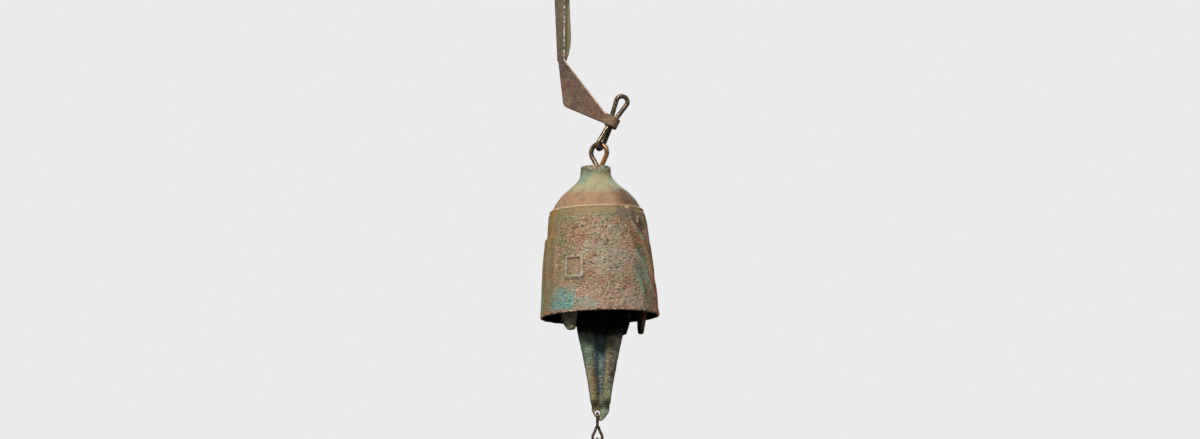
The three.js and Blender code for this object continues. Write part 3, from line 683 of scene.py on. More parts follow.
def looped_wire(wire, top_bow, top_reach, waist, bottom_bow, bottom_reach, turn):
    """Points along a wire with a loop at each end and two strands between that turn about each other."""
    half_spread = (wire + STRAND_GAP) / 2
    top = WireLoop(top_bow, top_reach, half_spread)
    bottom = WireLoop(bottom_bow, bottom_reach, half_spread)
    strand = math.hypot(waist, half_spread * turn)
    total = top_reach + waist + bottom_reach

    def turned(offset, depth, share):
        angle = turn * share
        return Vector((offset * math.cos(angle), offset * math.sin(angle), -depth))

    def on_strand(side, share):
        return turned(side * half_spread, top_reach + waist * share, share)

    def at(distance):
        if distance < strand / 2:
            return on_strand(1, 0.5 - distance / strand)
        distance -= strand / 2
        if distance < top.length:
            return turned(*top.at(distance), 0)
        distance -= top.length
        if distance < strand:
            return on_strand(-1, distance / strand)
        distance -= strand
        if distance < bottom.length:
            offset, height = bottom.at(distance)
            return turned(-offset, total - height, 1)
        return on_strand(1, 1 - (distance - bottom.length) / strand)

    length = 2 * strand + top.length + bottom.length - BUTT_GAP
    steps = round(length / WIRE_STEP)
    return [at(length * i / steps) for i in range(steps + 1)]


def open_ring(radius):
    """Points round an upright ring of wire, from one cut end to the other."""
    length = 2 * math.pi * radius - BUTT_GAP
    steps = round(length / WIRE_STEP)
    angles = [(length * i / steps + BUTT_GAP / 2) / radius for i in range(steps + 1)]
    return [Vector((0, radius * math.cos(angle), radius * math.sin(angle))) for angle in angles]


def wire_piece(name, points, place, wire, seed, finish):
    """A wire of a thickness along points that are moved to their place."""
    line = [place @ point for point in points]
    piece = new_piece(name, line, [], [(i, i + 1) for i in range(len(line) - 1)])
    grow(piece, BENT_WIRE, {
        "Wire Radius": wire / 2 * MM, "Section Sides": WIRE_SIDES,
        "Dent Size": WIRE_DENT_SIZE * MM, "Dent Depth": WIRE_DENT_DEPTH * MM,
        "Seed": seed, "Finish": finish})
    piece.data.set_sharp_from_angle(angle=CUT_END)
    return piece


# The bell's wall

CROWN_SHARES = (0.35, 0.7, 0.93, 1.0)
BORE_SHARES = (0.07, 0.5, 0.93, 1.0)
CEILING_SHARES = (0.05, 0.35, 0.7, 1.0)


def bend(start, control, end, steps):
    """Points of a curve with one control point, after its start."""
    points = []
    for i in range(1, steps + 1):
        share = i / steps
        points.append(start.lerp(control, share).lerp(control.lerp(end, share), share))
    return points


def spaced(points, step):
    """The same line with points an even step apart."""
    out = [points[0]]
    for start, end in zip(points, points[1:]):
        count = max(1, math.ceil((end - start).length / step))
        out.extend(start.lerp(end, i / count) for i in range(1, count + 1))
    return out


def inset_by(points, wall):
    """The same line moved in by a wall's thickness."""
    inner = []
    for i, point in enumerate(points):
        run = (points[min(i + 1, len(points) - 1)] - points[max(i - 1, 0)]).normalized()
        inner.append(Vector((point.x - wall * run.y, point.y + wall * run.x)))
    return inner


def bell_lines():
    """The wall's outer line from the lip to the collar's top, and its inner line back to the lip."""
    turn = Vector((lerp(SEAM_RADIUS, COLLAR_RADIUS, DOME_BEND), seam_height + DOME_BEND * DOME_HEIGHT))
    slope = Vector((-math.sin(DOME_SLOPE), math.cos(DOME_SLOPE)))
    brow_radius = lerp(turn.x, SEAM_RADIUS, DOME_FULLNESS)
    brow = turn + slope * ((brow_radius - turn.x) / slope.x)
    throat = turn + slope * ((COLLAR_RADIUS - turn.x) / slope.x)
    draft = (RIM_RADIUS - SHOULDER_RADIUS) / SKIRT_HEIGHT
    shoulder_top = SKIRT_HEIGHT + SHOULDER_BEND * SHOULDER_HEIGHT
    shoulder = Vector((SHOULDER_RADIUS, SKIRT_HEIGHT))
    shoulder_turn = Vector((RIM_RADIUS - draft * shoulder_top, shoulder_top))
    seam = Vector((SEAM_RADIUS, seam_height))
    collar_foot = Vector((COLLAR_RADIUS, bell_height - COLLAR_HEIGHT))
    collar_edge = Vector((COLLAR_RADIUS, bell_height - COLLAR_ROUND))
    collar_top_edge = Vector((COLLAR_RADIUS - COLLAR_ROUND, bell_height))
    lip_edge = Vector((RIM_RADIUS - LIP_ROUND, 0))
    rim = Vector((RIM_RADIUS, 0))
    skirt_foot = Vector((RIM_RADIUS, LIP_ROUND))
    lip = bend(lip_edge, rim, skirt_foot, LIP_STEPS)
    skirt = [shoulder] + bend(shoulder, shoulder_turn, seam, SHOULDER_STEPS)
    dome = bend(seam, brow, turn, DOME_STEPS)
    neck = bend(turn, throat, collar_foot, DOME_STEPS)
    collar = bend(collar_edge, Vector((COLLAR_RADIUS, bell_height)), collar_top_edge, COLLAR_STEPS)
    outer = [lip_edge] + lip + skirt + dome + neck + [collar_edge] + collar
    inner = inset_by(spaced([rim] + skirt + dome, INSIDE_STEP), WALL)
    inner[0] = Vector((RIM_RADIUS - WALL, 0))
    return spaced(outer, OUTSIDE_STEP), inner[::-1]


def bell_rings(outer, inner):
    """Radius, height and sideways shift of the wall's rings: up outside, through the bore and down inside."""
    bore = HANGER_WIRE + STRAND_GAP / 2 + GAP
    ceiling = bell_height - CROWN_THICKNESS
    ceiling_edge = LOOP_OFFSET + bore + LIP_ROUND
    crown_edge = outer[-1].x
    shoulder = inner[0]
    rings = [(point.x, point.y, 0.0) for point in outer]
    rings += [(lerp(crown_edge, bore, share), bell_height, LOOP_OFFSET * share) for share in CROWN_SHARES]
    rings += [(bore, lerp(bell_height, ceiling, share), LOOP_OFFSET) for share in BORE_SHARES]
    for share in CEILING_SHARES:
        rings.append((lerp(bore, ceiling_edge, share), ceiling, LOOP_OFFSET * (1 - share)))
    rings.append((lerp(ceiling_edge, shoulder.x, 0.5), lerp(ceiling, shoulder.y, 0.5), 0.0))
    rings += [(point.x, point.y, 0.0) for point in inner]
    rings.append((lerp(RIM_RADIUS - WALL, RIM_RADIUS - LIP_ROUND, 0.5), 0.0, 0.0))
    return rings


class WallSpot:
    """A spot on the bell's wall: its turn from the front, its height above the lip and its place."""

    def __init__(self, turn, height, place):
        self.turn = turn
        self.degrees = math.degrees(turn)
        self.height = height
        self.place = place

    def speckle(self, size, shift=0.0):
        return speckle(self.place, size, shift)


def bell_shell():
    """The bell: a turned wall with its relief, painted spot by spot, under the skin of a casting."""
    outer, inner = bell_lines()
    rings = bell_rings(outer, inner)
    points = []
    grains = []
    bares = []
    tints = []
    for index, (radius, height, shift) in enumerate(rings):
        outside = index < len(outer)
        in_sight = index < len(outer) + len(CROWN_SHARES)
        for j in range(BELL_SIDES):
            turn = 2 * math.pi * j / BELL_SIDES - math.pi
            way = Vector((math.sin(turn), -math.cos(turn), 0))
            spot = WallSpot(turn, height, way * radius + Vector((shift, 0, height)))
            if outside:
                spot.place += way * bell_swell(spot)
            if outside or radius > RIM_RADIUS - WALL:
                spot.place.z += lip_waver(spot)
            points.append(shell_place @ spot.place)
            grains.append(bell_grain(spot) if in_sight else 0.0)
            bares.append(bell_bare(spot) if outside else 0.0)
            tints.append(bell_tint(spot) if in_sight else inside_painted_shade(spot))
    piece = new_piece("bell_shell_cast", points, ring_faces(len(rings), BELL_SIDES, True))
    paint(piece, grains, bares, tints)
    outward(piece)
    cast_over(piece, BELL_GRAIN, BELL_LUMPS, seed=4.0, finish=CAST_BRONZE)
    return piece


# Relief on the bell's wall

SQUARE_TURN = math.radians(-27)
SQUARE_HEIGHT = 38.2
SQUARE_HALF = Vector((8.4, 9.8))
SQUARE_BORDER = 2.6
SQUARE_SOFTNESS = 0.5
SQUARE_RELIEF = 1.5
SQUARE_FLOOR_DEPTH = 0.4
SQUARE_FLOOR_EDGE = 0.7
BORDER_SHADE_OFFSET = 0.9
BORDER_SHADE_WIDTH = 0.7
SIDE_TURN = math.radians(90)
SIDE_RADIUS = 46.0
RIGHT_PANEL_SIDE = (42, 34)
RIGHT_PANEL_FOOT = (6, 15)
RIGHT_PANEL_TOP = (88, 76)
RIGHT_RIB_PITCH = 15.0
RIGHT_RIB_START = 12.5
RIGHT_RIB_SLANT = Vector((0.86, 0.51))
RIGHT_RIB_WANDER = 7
RIGHT_RIB_WANDER_SIZE = 24
RIGHT_RIB_HEIGHT = 2.2
RIGHT_RIB_SINK = 1.3
LEFT_PANEL_SIDE = (34, 30)
LEFT_PANEL_FOOT = (4, 44)
LEFT_PANEL_TOP = (68, 65)
LEFT_PANEL_HEIGHT = 0.9
LEFT_RIB_HEIGHT = 0.8
LEFT_RIB_LEAN = 0.12
LEFT_RIB_PITCH = 14.0
WALL_WAVER = 0.7
SEAM_RIDGE = 0.7
SEAM_RIDGE_WIDTH = 0.8
SEAM_GROOVE = 0.5
SEAM_GROOVE_DROP = 2.2
SEAM_GROOVE_WIDTH = 1.4
RIM_STREAKS = 0.16
RIM_STREAKS_ZONE = (16, 7)
COLLAR_LUMPS = 1.6
COLLAR_LUMPS_ZONE = (-9, -4)
CROWN_PLAIN_ZONE = (0.2, -2.5)
LIP_WAVER = 0.8
LIP_ZONE = (2.2, 0.0)
PLAIN_GRAIN = 0.3
COLLAR_GRAIN = 0.6
SKIRT_GRAIN = 0.7
SIDE_GRAIN_SHARE = 0.35
FLOOR_GRAIN_SHARE = 0.55
GRAINY_FOOT = (-8, 6)
GRAINY_TOP = (0, -14)
GRAINY_LEFT = (-64, -34)
GRAINY_RIGHT = (64, 34)
GRAINY_COLLAR = (-9, -5)


def square_edge(spot):
    """How far outside the small square panel on the front a spot is. It is under 0 inside."""
    across = abs((spot.turn - SQUARE_TURN) * SIDE_RADIUS) - SQUARE_HALF.x
    up = abs(spot.height - SQUARE_HEIGHT) - SQUARE_HALF.y
    return math.hypot(max(across, 0), max(up, 0)) + min(max(across, up), 0)


def square_border(spot):
    """1 on the panel's raised border, 0 off it."""
    edge = square_edge(spot)
    within = smooth(-SQUARE_BORDER - SQUARE_SOFTNESS, -SQUARE_BORDER + SQUARE_SOFTNESS, edge)
    return smooth(SQUARE_SOFTNESS, -SQUARE_SOFTNESS, edge) * within


def square_floor(spot):
    """1 on the panel's floor, inside its border, 0 off it."""
    return smooth(-SQUARE_BORDER + SQUARE_SOFTNESS, -SQUARE_BORDER - SQUARE_FLOOR_EDGE, square_edge(spot))


def square_border_shade(spot):
    """1 along the two feet of the panel's border, where shade is painted, 0 off them."""
    edge = square_edge(spot)
    return peak(edge - BORDER_SHADE_OFFSET, BORDER_SHADE_WIDTH) + peak(edge + SQUARE_BORDER + SQUARE_SOFTNESS, BORDER_SHADE_WIDTH)


def ribs(along, pitch):
    """Rounded ribs side by side, from 0 in the hollows to 1 on the crests."""
    return 0.5 - 0.5 * math.cos(2 * math.pi * along / pitch)


def right_panel(spot):
    """1 on the ribbed panel at the right side of the bell, 0 off it."""
    off = abs((spot.turn - SIDE_TURN) * SIDE_RADIUS)
    upright = smooth(*RIGHT_PANEL_FOOT, spot.height) * smooth(*RIGHT_PANEL_TOP, spot.height)
    return smooth(*RIGHT_PANEL_SIDE, off) * upright


def right_ribs(spot):
    """Slanting ribs that wander a little."""
    off = (spot.turn - SIDE_TURN) * SIDE_RADIUS
    drift = Vector((off / RIGHT_RIB_WANDER_SIZE, spot.height / RIGHT_RIB_WANDER_SIZE, 0.0))
    along = off * RIGHT_RIB_SLANT.x + spot.height * RIGHT_RIB_SLANT.y + RIGHT_RIB_START
    return ribs(along + RIGHT_RIB_WANDER * noise.noise(drift), RIGHT_RIB_PITCH)


def side_relief(spot):
    """Plain slanting ribs on the right side of the bell, and a raised panel with upright ones on the left."""
    height = spot.height
    off_left = (spot.turn + SIDE_TURN) * SIDE_RADIUS
    left = smooth(*LEFT_PANEL_SIDE, abs(off_left)) * smooth(*LEFT_PANEL_FOOT, height)
    left *= smooth(*LEFT_PANEL_TOP, height)
    left_ribs = ribs(off_left + height * LEFT_RIB_LEAN, LEFT_RIB_PITCH)
    raised = right_panel(spot) * (RIGHT_RIB_HEIGHT * right_ribs(spot) - RIGHT_RIB_SINK)
    return raised + left * (LEFT_PANEL_HEIGHT + LEFT_RIB_HEIGHT * left_ribs)


def bell_swell(spot):
    """How far the wall stands out from its turned line at a spot."""
    height = spot.height
    above_line = height - line_height
    swell = WALL_WAVER * (spot.speckle(38.0) - 0.5)
    swell += side_relief(spot)
    swell += SEAM_RIDGE * peak(above_line, SEAM_RIDGE_WIDTH) * (0.4 + spot.speckle(9.0, 3.0))
    swell -= SEAM_GROOVE * peak(above_line + SEAM_GROOVE_DROP, SEAM_GROOVE_WIDTH)
    swell += SQUARE_RELIEF * square_border(spot) * (0.8 + 0.8 * (spot.speckle(5.0, 6.0) - 0.5))
    swell += square_floor(spot) * (0.5 * (spot.speckle(3.0, 12.0) - 0.5) - SQUARE_FLOOR_DEPTH)
    streaks = noise.noise(Vector((spot.place.x / 9, spot.place.y / 9, height / 0.9)))
    swell += RIM_STREAKS * streaks * smooth(*RIM_STREAKS_ZONE, height)
    swell += COLLAR_LUMPS * (spot.speckle(5.0, 4.0) - 0.5) * smooth(*COLLAR_LUMPS_ZONE, height - bell_height)
    return swell * smooth(*CROWN_PLAIN_ZONE, height - bell_height)


def lip_waver(spot):
    """How far the lip is out of level at a spot."""
    return LIP_WAVER * smooth(*LIP_ZONE, spot.height) * (spot.speckle(2.6, 5.0) - 0.5)


def bell_grain(spot):
    """How rough the casting is: coarse on the skirt's front and the collar, finer elsewhere."""
    skirt = smooth(*GRAINY_FOOT, spot.height) * smooth(*GRAINY_TOP, spot.height - line_height)
    front = smooth(*GRAINY_LEFT, spot.degrees) * smooth(*GRAINY_RIGHT, spot.degrees)
    grain = PLAIN_GRAIN + COLLAR_GRAIN * smooth(*GRAINY_COLLAR, spot.height - bell_height)
    grain += SKIRT_GRAIN * skirt * lerp(SIDE_GRAIN_SHARE, 1.0, front)
    return grain * lerp(1.0, FLOOR_GRAIN_SHARE, square_floor(spot))


# The bell's patina

class Patch:
    """A soft-edged blotch on the bell's wall. Its turn is in degrees, its other sizes in millimetres."""

    def __init__(self, turn, height, half_width, half_height, ragged=0.35):
        self.turn = math.radians(turn)
        self.height = height
        self.half_width = half_width
        self.half_height = half_height
        self.ragged = ragged

    def cover(self, spot):
        """From 0 outside the blotch to 1 inside."""
        across = (spot.turn - self.turn) * SIDE_RADIUS / self.half_width
        up = (spot.height - self.height) / self.half_height
        wander = 2 * self.ragged * (spot.speckle(7.0, self.height) - 0.5)
        return smooth(1.15, 0.7, math.hypot(across, up) + wander)


# Blotches on the skirt
GREEN_BLOOM = Patch(20, 48, 24, 22, ragged=0.9)
ROSE_FOOT = Patch(6, 13, 22, 12)
ORANGE_SIDE = Patch(46, 62, 12, 18, ragged=0.5)
GREEN_SIDE = Patch(56, 36, 13, 22, ragged=0.6)
GREEN_SIDE_MIDDLE = Patch(52, 34, 9, 18, ragged=0.6)
TURQUOISE_FOOT = Patch(-14, 6, 8, 5, ragged=0.6)
PALE_RIGHT_FOOT = Patch(40, 9, 18, 8, ragged=0.5)
DARK_RIGHT_FOOT = Patch(57, 11, 9, 9, ragged=0.5)
SMOKY_SHOULDER = Patch(37, 83, 14, 8.0, ragged=0.7)
SOOTY_SHOULDER = Patch(58, 74, 8, 9, ragged=0.7)
# Two painted glints, laid on as bright bare metal
SEAM_GLINT = Patch(39, 88.2, 3.4, 1.3)
RIB_GLINT = Patch(57, 79, 1.6, 3.0)

# The squarish verdigris at the lower left
CORNER_TURN = -43
CORNER_SLANT = 0.22
CORNER_HALF_TURN = 16.5
CORNER_HEIGHT = 11
CORNER_HALF_HEIGHT = 10.5

# Turns in degrees at which the skirt's colour changes
LEFT_OLIVE = (-20, -40)
LEFT_SIDE = (-52, -64)
FAR_LEFT = (-64, -76)
RIGHT_OCHRE = (36, 52)
RIGHT_HOLLOWS = (36, 46)
RIGHT_HOLLOWS_END = (70, 60)
RIGHT_CRESTS_END = (72, 58)
RIGHT_WORN = (60, 67)
RIGHT_WORN_END = (82, 72)
FAR_RIGHT = (66, 76)
BEHIND = (95, 125)
REAR = (105, 155)
LIP_ORANGE_END = (10, -30)
SEAM_LINE_FADE = (12, 32)
SEAM_METAL_FADE = (10, 28)

# Heights at which it changes
UNDER_SEAM = (68, 84)
SIDE_ORANGE_TOP = (62, 50)
SIDE_WORN_FOOT = (8, 18)
LEFT_OCHRE_FOOT = (48, 62)
LEFT_OLIVE_TOP = (60, 48)
LEFT_GREEN_TOP = (30, 18)
LIP_ORANGE_TOP = (3.4, 1.6)
LIP_SOOT_TOP = (1.9, 0.6)
LIP_METAL_TOP = (1.9, 1.0)
INSIDE_BROWN_TOP = (1, 8)

# Turns, heights and heights above the seam at which the dome's colour changes
DOME_RIGHT = (22, 42)
DOME_RIGHT_END = (170, 120)
DOME_OLIVE_FOOT = (9, 17)
DOME_DARK_TOP = (20, 11)
DOME_GREEN_FOOT = (13, 18)
DOME_GREEN_TOP = (27, 22)
NECK_GREY_FOOT = (19, 33)
COLLAR_GREEN_FOOT = (29, 34)
COLLAR_SOOT_FOOT = (29, 33)
STREAK_TURN = -42
STREAK_WIDTH = 22
STREAK_HEIGHT = 116
STREAK_FOOT = (109, 114)
STREAK_TOP = (125, 120)
CROWN_SOOT_FOOT = (-1.5, 0.0)


def inside_painted_shade(spot):
    """Painted shade inside the bell: brown just inside the lip, and black further up."""
    return INSIDE_SHADE_BROWN.lerp(PAINTED_SHADE_BLACK, smooth(*INSIDE_BROWN_TOP, spot.height))


def bell_bare(spot):
    """Where metal shows bright: the lip, the seam, the panel's border, and two painted glints on the right.
    """
    bright = smooth(*LIP_METAL_TOP, spot.height) * smooth(0.46, 0.56, spot.speckle(2.2, 7.0))
    seam = peak(spot.height - line_height - 0.2, 0.55)
    faded = lerp(1.0, 0.6, smooth(*SEAM_METAL_FADE, spot.degrees))
    bright += 0.6 * seam * faded * smooth(0.25, 0.6, spot.speckle(12.0, 2.0))
    bright += 0.3 * square_border(spot) * smooth(0.4, 0.6, spot.speckle(3.0, 3.0))
    bright += SEAM_GLINT.cover(spot) + RIB_GLINT.cover(spot)
    return min(1.0, bright)


def corner_verdigris(spot):
    """The verdigris at the lower left, with a sharp right edge and the other edges fading out."""
    wander = 0.9 * (spot.speckle(9.0, 3.0) - 0.5)
    across = (spot.degrees - CORNER_TURN - CORNER_SLANT * spot.height) / CORNER_HALF_TURN
    up = (spot.height - CORNER_HEIGHT) / CORNER_HALF_HEIGHT + 0.35 * max(0.0, across)
    sides = smooth(1.1, 0.85, across + 0.4 * wander) * smooth(-1.6, 0.1, across + wander)
    return sides * smooth(1.6, 0.1, up + 1.3 * wander) * smooth(-1.1, -0.7, up + 0.3 * wander)


def bell_tint(spot):
    """The patina's colour on the outside of the bell."""
    height = spot.height
    degrees = spot.degrees
    close = spot.speckle(8.0, 9.0)
    tint = dome_tint(spot, close) if height > line_height else skirt_tint(spot, close)
    seam = peak(height - line_height, 0.6) * lerp(1.0, 0.75, smooth(*SEAM_LINE_FADE, degrees))
    return layered(tint, [
        (CREAM, 0.6 * seam * smooth(0.2, 0.5, close)),
        (EDGE_ORANGE, 0.7 * smooth(*LIP_ORANGE_TOP, height) * smooth(*LIP_ORANGE_END, degrees)),
        (SOOT_AND_SHADE, 0.7 * smooth(*LIP_SOOT_TOP, height) * smooth(0.5, 0.36, spot.speckle(2.2, 7.0))),
    ])


def skirt_tint(spot, close):
    """Rusty brown in front, olive at the left and under the seam, green and dark on the right side."""
    height = spot.height
    degrees = spot.degrees
    broad = spot.speckle(26.0, 1.0)
    panel = right_panel(spot)
    rib = right_ribs(spot)
    hollow = panel * smooth(0.75, 0.3, rib)
    shaded_hollow = hollow * smooth(*RIGHT_HOLLOWS, degrees) * smooth(*RIGHT_HOLLOWS_END, degrees)
    pale_lit_crest = panel * smooth(0.8, 0.98, rib)
    side_foot = smooth(*SIDE_ORANGE_TOP, height)
    worn = smooth(*RIGHT_WORN, degrees) * smooth(*RIGHT_WORN_END, degrees) * side_foot
    worn *= smooth(*SIDE_WORN_FOOT, height)
    left = smooth(*LEFT_SIDE, degrees)
    behind = smooth(*BEHIND, abs(degrees))
    rear = RUST_BROWN.lerp(OLIVE_BROWN, smooth(0.4, 0.6, spot.speckle(16.0, 5.0)))
    return layered(RUST_BROWN, [
        (ROSE_BROWN, smooth(0.35, 0.65, broad)),
        (OLIVE_BROWN.lerp(SOOT_AND_SHADE, 0.2), 0.8 * smooth(*LEFT_OLIVE, degrees) * smooth(0.2, 0.55, close)),
        (OLIVE_BROWN, 0.7 * smooth(*UNDER_SEAM, height)),
        (FLECK_GREEN, 0.3 * GREEN_BLOOM.cover(spot)),
        (ROSE_BROWN, 0.8 * ROSE_FOOT.cover(spot)),
        (OCHRE, 0.3 * smooth(*RIGHT_OCHRE, degrees) * smooth(0.3, 0.6, close)),
        (EDGE_ORANGE, 0.45 * ORANGE_SIDE.cover(spot)),
        (GREY_GREEN, 0.7 * GREEN_SIDE.cover(spot)),
        (PALE_GREEN, 0.45 * GREEN_SIDE_MIDDLE.cover(spot)),
        # Painted shade in the hollows between the right panel's ribs, and pale green on their crests, part
        # patina and part painted highlight
        (SOOT_AND_SHADE, 0.32 * shaded_hollow),
        (PALE_GREEN, 0.6 * pale_lit_crest * smooth(*RIGHT_CRESTS_END, degrees) * smooth(0.35, 0.55, close)),
        (EDGE_ORANGE, 0.8 * smooth(*FAR_RIGHT, degrees) * side_foot),
        (ROSE_BROWN.lerp(CREAM, 0.5), 0.4 * worn),
        (OCHRE, 0.6 * left * smooth(*LEFT_OCHRE_FOOT, height)),
        (OLIVE_BROWN.lerp(OCHRE, 0.25), 0.8 * left * smooth(*LEFT_OLIVE_TOP, height)),
        (PALE_GREEN, 0.4 * smooth(*FAR_LEFT, degrees) * smooth(*LEFT_GREEN_TOP, height)),
        (TURQUOISE, 0.95 * corner_verdigris(spot)),
        (TURQUOISE, 0.35 * TURQUOISE_FOOT.cover(spot)),
        (ROSE_BROWN.lerp(FLECK_GREEN, 0.35), 0.7 * PALE_RIGHT_FOOT.cover(spot)),
        (OLIVE_BROWN.lerp(SOOT_AND_SHADE, 0.5), 0.6 * DARK_RIGHT_FOOT.cover(spot)),
        (SMOKE, 0.8 * SMOKY_SHOULDER.cover(spot)),
        (SOOT_AND_SHADE, 0.6 * SOOTY_SHOULDER.cover(spot)),
        # Pale on the panel's border, part patina and part painted highlight, and painted shade at the
        # border's feet
        (FLECK_GREEN, 0.4 * square_border(spot)),
        (SOOT_AND_SHADE, 0.45 * min(1.0, square_border_shade(spot)) * smooth(0.2, 0.5, close)),
        (rear, smooth(*REAR, abs(degrees))),
        (TURQUOISE, 0.7 * behind * smooth(0.55, 0.7, broad)),
        (SOOT_AND_SHADE, 0.5 * behind * smooth(0.42, 0.25, close)),
    ])


def dome_tint(spot, close):
    """Orange-brown by the seam, olive above it, a green streak on the neck and grey on the collar."""
    height = spot.height
    above_seam = height - seam_height
    rise = above_seam + 8 * (spot.speckle(14.0, 4.0) - 0.5)
    right = smooth(*DOME_RIGHT, spot.degrees) * smooth(*DOME_RIGHT_END, spot.degrees)
    streak = peak(spot.degrees - STREAK_TURN - (height - STREAK_HEIGHT), STREAK_WIDTH)
    crown = smooth(*CROWN_SOOT_FOOT, height - bell_height)
    return layered(DOME_ORANGE, [
        (DOME_OLIVE, smooth(*DOME_OLIVE_FOOT, rise)),
        (RUST_BROWN.lerp(SOOT_AND_SHADE, 0.66), 0.85 * right * smooth(*DOME_DARK_TOP, rise)),
        (PALE_GREEN, 0.5 * right * smooth(*DOME_GREEN_FOOT, rise) * smooth(*DOME_GREEN_TOP, rise)),
        (OLIVE_BROWN.lerp(GREY_GREEN, 0.5), 0.8 * smooth(*NECK_GREY_FOOT, above_seam)),
        (PALE_GREEN.lerp(GREY_GREEN, 0.3),
         0.95 * streak * smooth(*STREAK_FOOT, height) * smooth(*STREAK_TOP, height)),
        (FLECK_GREEN, 0.4 * smooth(*COLLAR_GREEN_FOOT, above_seam) * smooth(0.5, 0.65, close)),
        (SOOT_AND_SHADE, 0.5 * smooth(*COLLAR_SOOT_FOOT, above_seam) * smooth(0.55, 0.4, spot.speckle(3.5, 7.0))),
        (SOOT_AND_SHADE, 0.4 * crown + 0.2 * smooth(0.45, 0.3, close)),
    ])


# Clapper

def core_radius(drop):
    """Half the width of the clapper's core at a drop below its pivot."""
    if drop < CROWN_DROP:
        share = (CROWN_DROP - drop) / (CROWN_DROP - NECK_DROP)
        return NECK_RADIUS + (CROWN_RADIUS - NECK_RADIUS) * math.sqrt(max(0.0, 1 - share * share))
    if drop < TAIL_DROP:
        share = (TAIL_DROP - drop) / (TAIL_DROP - CROWN_DROP)
        return TAIL_RADIUS + (CROWN_RADIUS - TAIL_RADIUS) * share ** TAIL_FLARE
    share = (drop - TAIL_DROP) / (TIP_DROP - TAIL_DROP)
    return TAIL_RADIUS * max(0.0, 1 - share * share) ** TIP_BLUNTNESS


def off_lobe(angle):
    """The angle between a direction and the middle of the nearest of the four lobes."""
    return abs(angle % QUARTER_TURN - QUARTER_TURN / 2)


def lobed_radius(angle):
    """Radius of a four-lobed outline of half width 1, with flat-bottomed flutes between the lobes."""
    from_lobe = off_lobe(angle)
    centre = math.sqrt(2) * (1 - LOBE_SHARE)
    side = centre * math.sin(from_lobe)
    lobe = centre * math.cos(from_lobe) + math.sqrt(max(0.0, LOBE_SHARE * LOBE_SHARE - side * side))
    floor = FLUTE_FLOOR / math.cos(QUARTER_TURN / 2 - from_lobe)
    return lerp(lobe, floor, smooth(FLUTE_START, FLUTE_END, from_lobe))


def clapper_core():
    """The neck, the crown, the fluted tail and the flat tip, as points and faces."""
    tongue_top = TIP_DROP - TONGUE_HEIGHT
    rings = []
    for i in range(CLAPPER_STATIONS + 1):
        drop = lerp(NECK_DROP, TIP_DROP - TIP_FLAT, (1 - math.cos(math.pi * i / CLAPPER_STATIONS)) / 2)
        width = core_radius(drop)
        fluted = smooth(FINGER_SPRING_DROP, FINGER_ROOT_DROP, drop)
        flattened = smooth(tongue_top - TONGUE_HEIGHT, tongue_top, drop)
        depth_share = lerp(1, min(1, TONGUE_THICKNESS / (2 * width)), flattened)
        ring = []
        for j in range(CLAPPER_SIDES):
            angle = 2 * math.pi * j / CLAPPER_SIDES
            radius = width * lerp(1, lobed_radius(angle), fluted * (1 - flattened))
            ring.append(Vector((radius * math.cos(angle), depth_share * radius * math.sin(angle), -drop)))
        rings.append(ring)
    return solid_rings(rings)


def squared(part):
    """A sine or cosine drawn out, for an outline between a circle and a square."""
    return math.copysign(abs(part) ** FINGER_SQUARENESS, part)


def clapper_finger(turn, length, tip_width):
    """A finger that springs out of the crown, turns down and hangs past the rim, rounded all ways."""
    foot = FINGER_ROOT_DROP + length
    under = FINGER_SPRING_DROP + FINGER_ROOT_THICKNESS
    root_out = Vector((FINGER_REACH, -FINGER_ROOT_DROP))
    root_in = Vector((FINGER_REACH - FINGER_THICKNESS, -FINGER_ROOT_DROP))
    tip_out = Vector((FINGER_REACH - FINGER_LEAN, -foot))
    tip_in = Vector((FINGER_REACH - FINGER_LEAN - FINGER_TIP_THICKNESS, -foot))
    half = FINGER_STATIONS // 2
    start_out = Vector((0, -FINGER_SPRING_DROP))
    start_in = Vector((0, -under))
    outer = [start_out] + bend(start_out, Vector((FINGER_REACH, -FINGER_SPRING_DROP)), root_out, half)
    inner = [start_in] + bend(start_in, Vector((root_in.x, -under)), root_in, half)
    outer += [root_out.lerp(tip_out, i / half) for i in range(1, half + 1)]
    inner += [root_in.lerp(tip_in, i / half) for i in range(1, half + 1)]
    wide_until = FINGER_SPRING_DROP + FINGER_THICKNESS
    rings = []
    for far, near in zip(outer, inner):
        near = near.lerp(far, -FINGER_FULLNESS * smooth(wide_until, FINGER_ROOT_DROP, -near.y))
        middle = (far + near) / 2
        half_depth = (far - near) / 2
        taper = min(1.0, max(0.0, (-middle.y - wide_until) / (foot - wide_until)))
        half_width = lerp(FINGER_WIDTH, tip_width, taper) / 2
        close = max(0.0, 1 - (foot + middle.y) / FINGER_CORNER)
        blunt = lerp(1, math.sqrt(max(0.0, 1 - close * close)), FINGER_BLUNTNESS)
        ring = []
        for j in range(FINGER_SIDES):
            angle = 2 * math.pi * j / FINGER_SIDES
            spot = middle + half_depth * (squared(math.sin(angle)) * blunt)
            ring.append(Vector((spot.x, squared(math.cos(angle)) * half_width * blunt, spot.y)))
        rings.append(ring)
    points, faces = solid_rings(rings)
    swing = Matrix.Rotation(math.radians(turn) - QUARTER_TURN, 3, "Z")
    return [swing @ point for point in points], faces


def bow_bore(wire, bow, thickness):
    """Radius of a hole in a plate that a bow of wire turns in freely."""
    bent = bow - math.sqrt(bow * bow - thickness * thickness / 4)
    return wire / 2 + bent + 2 * GAP


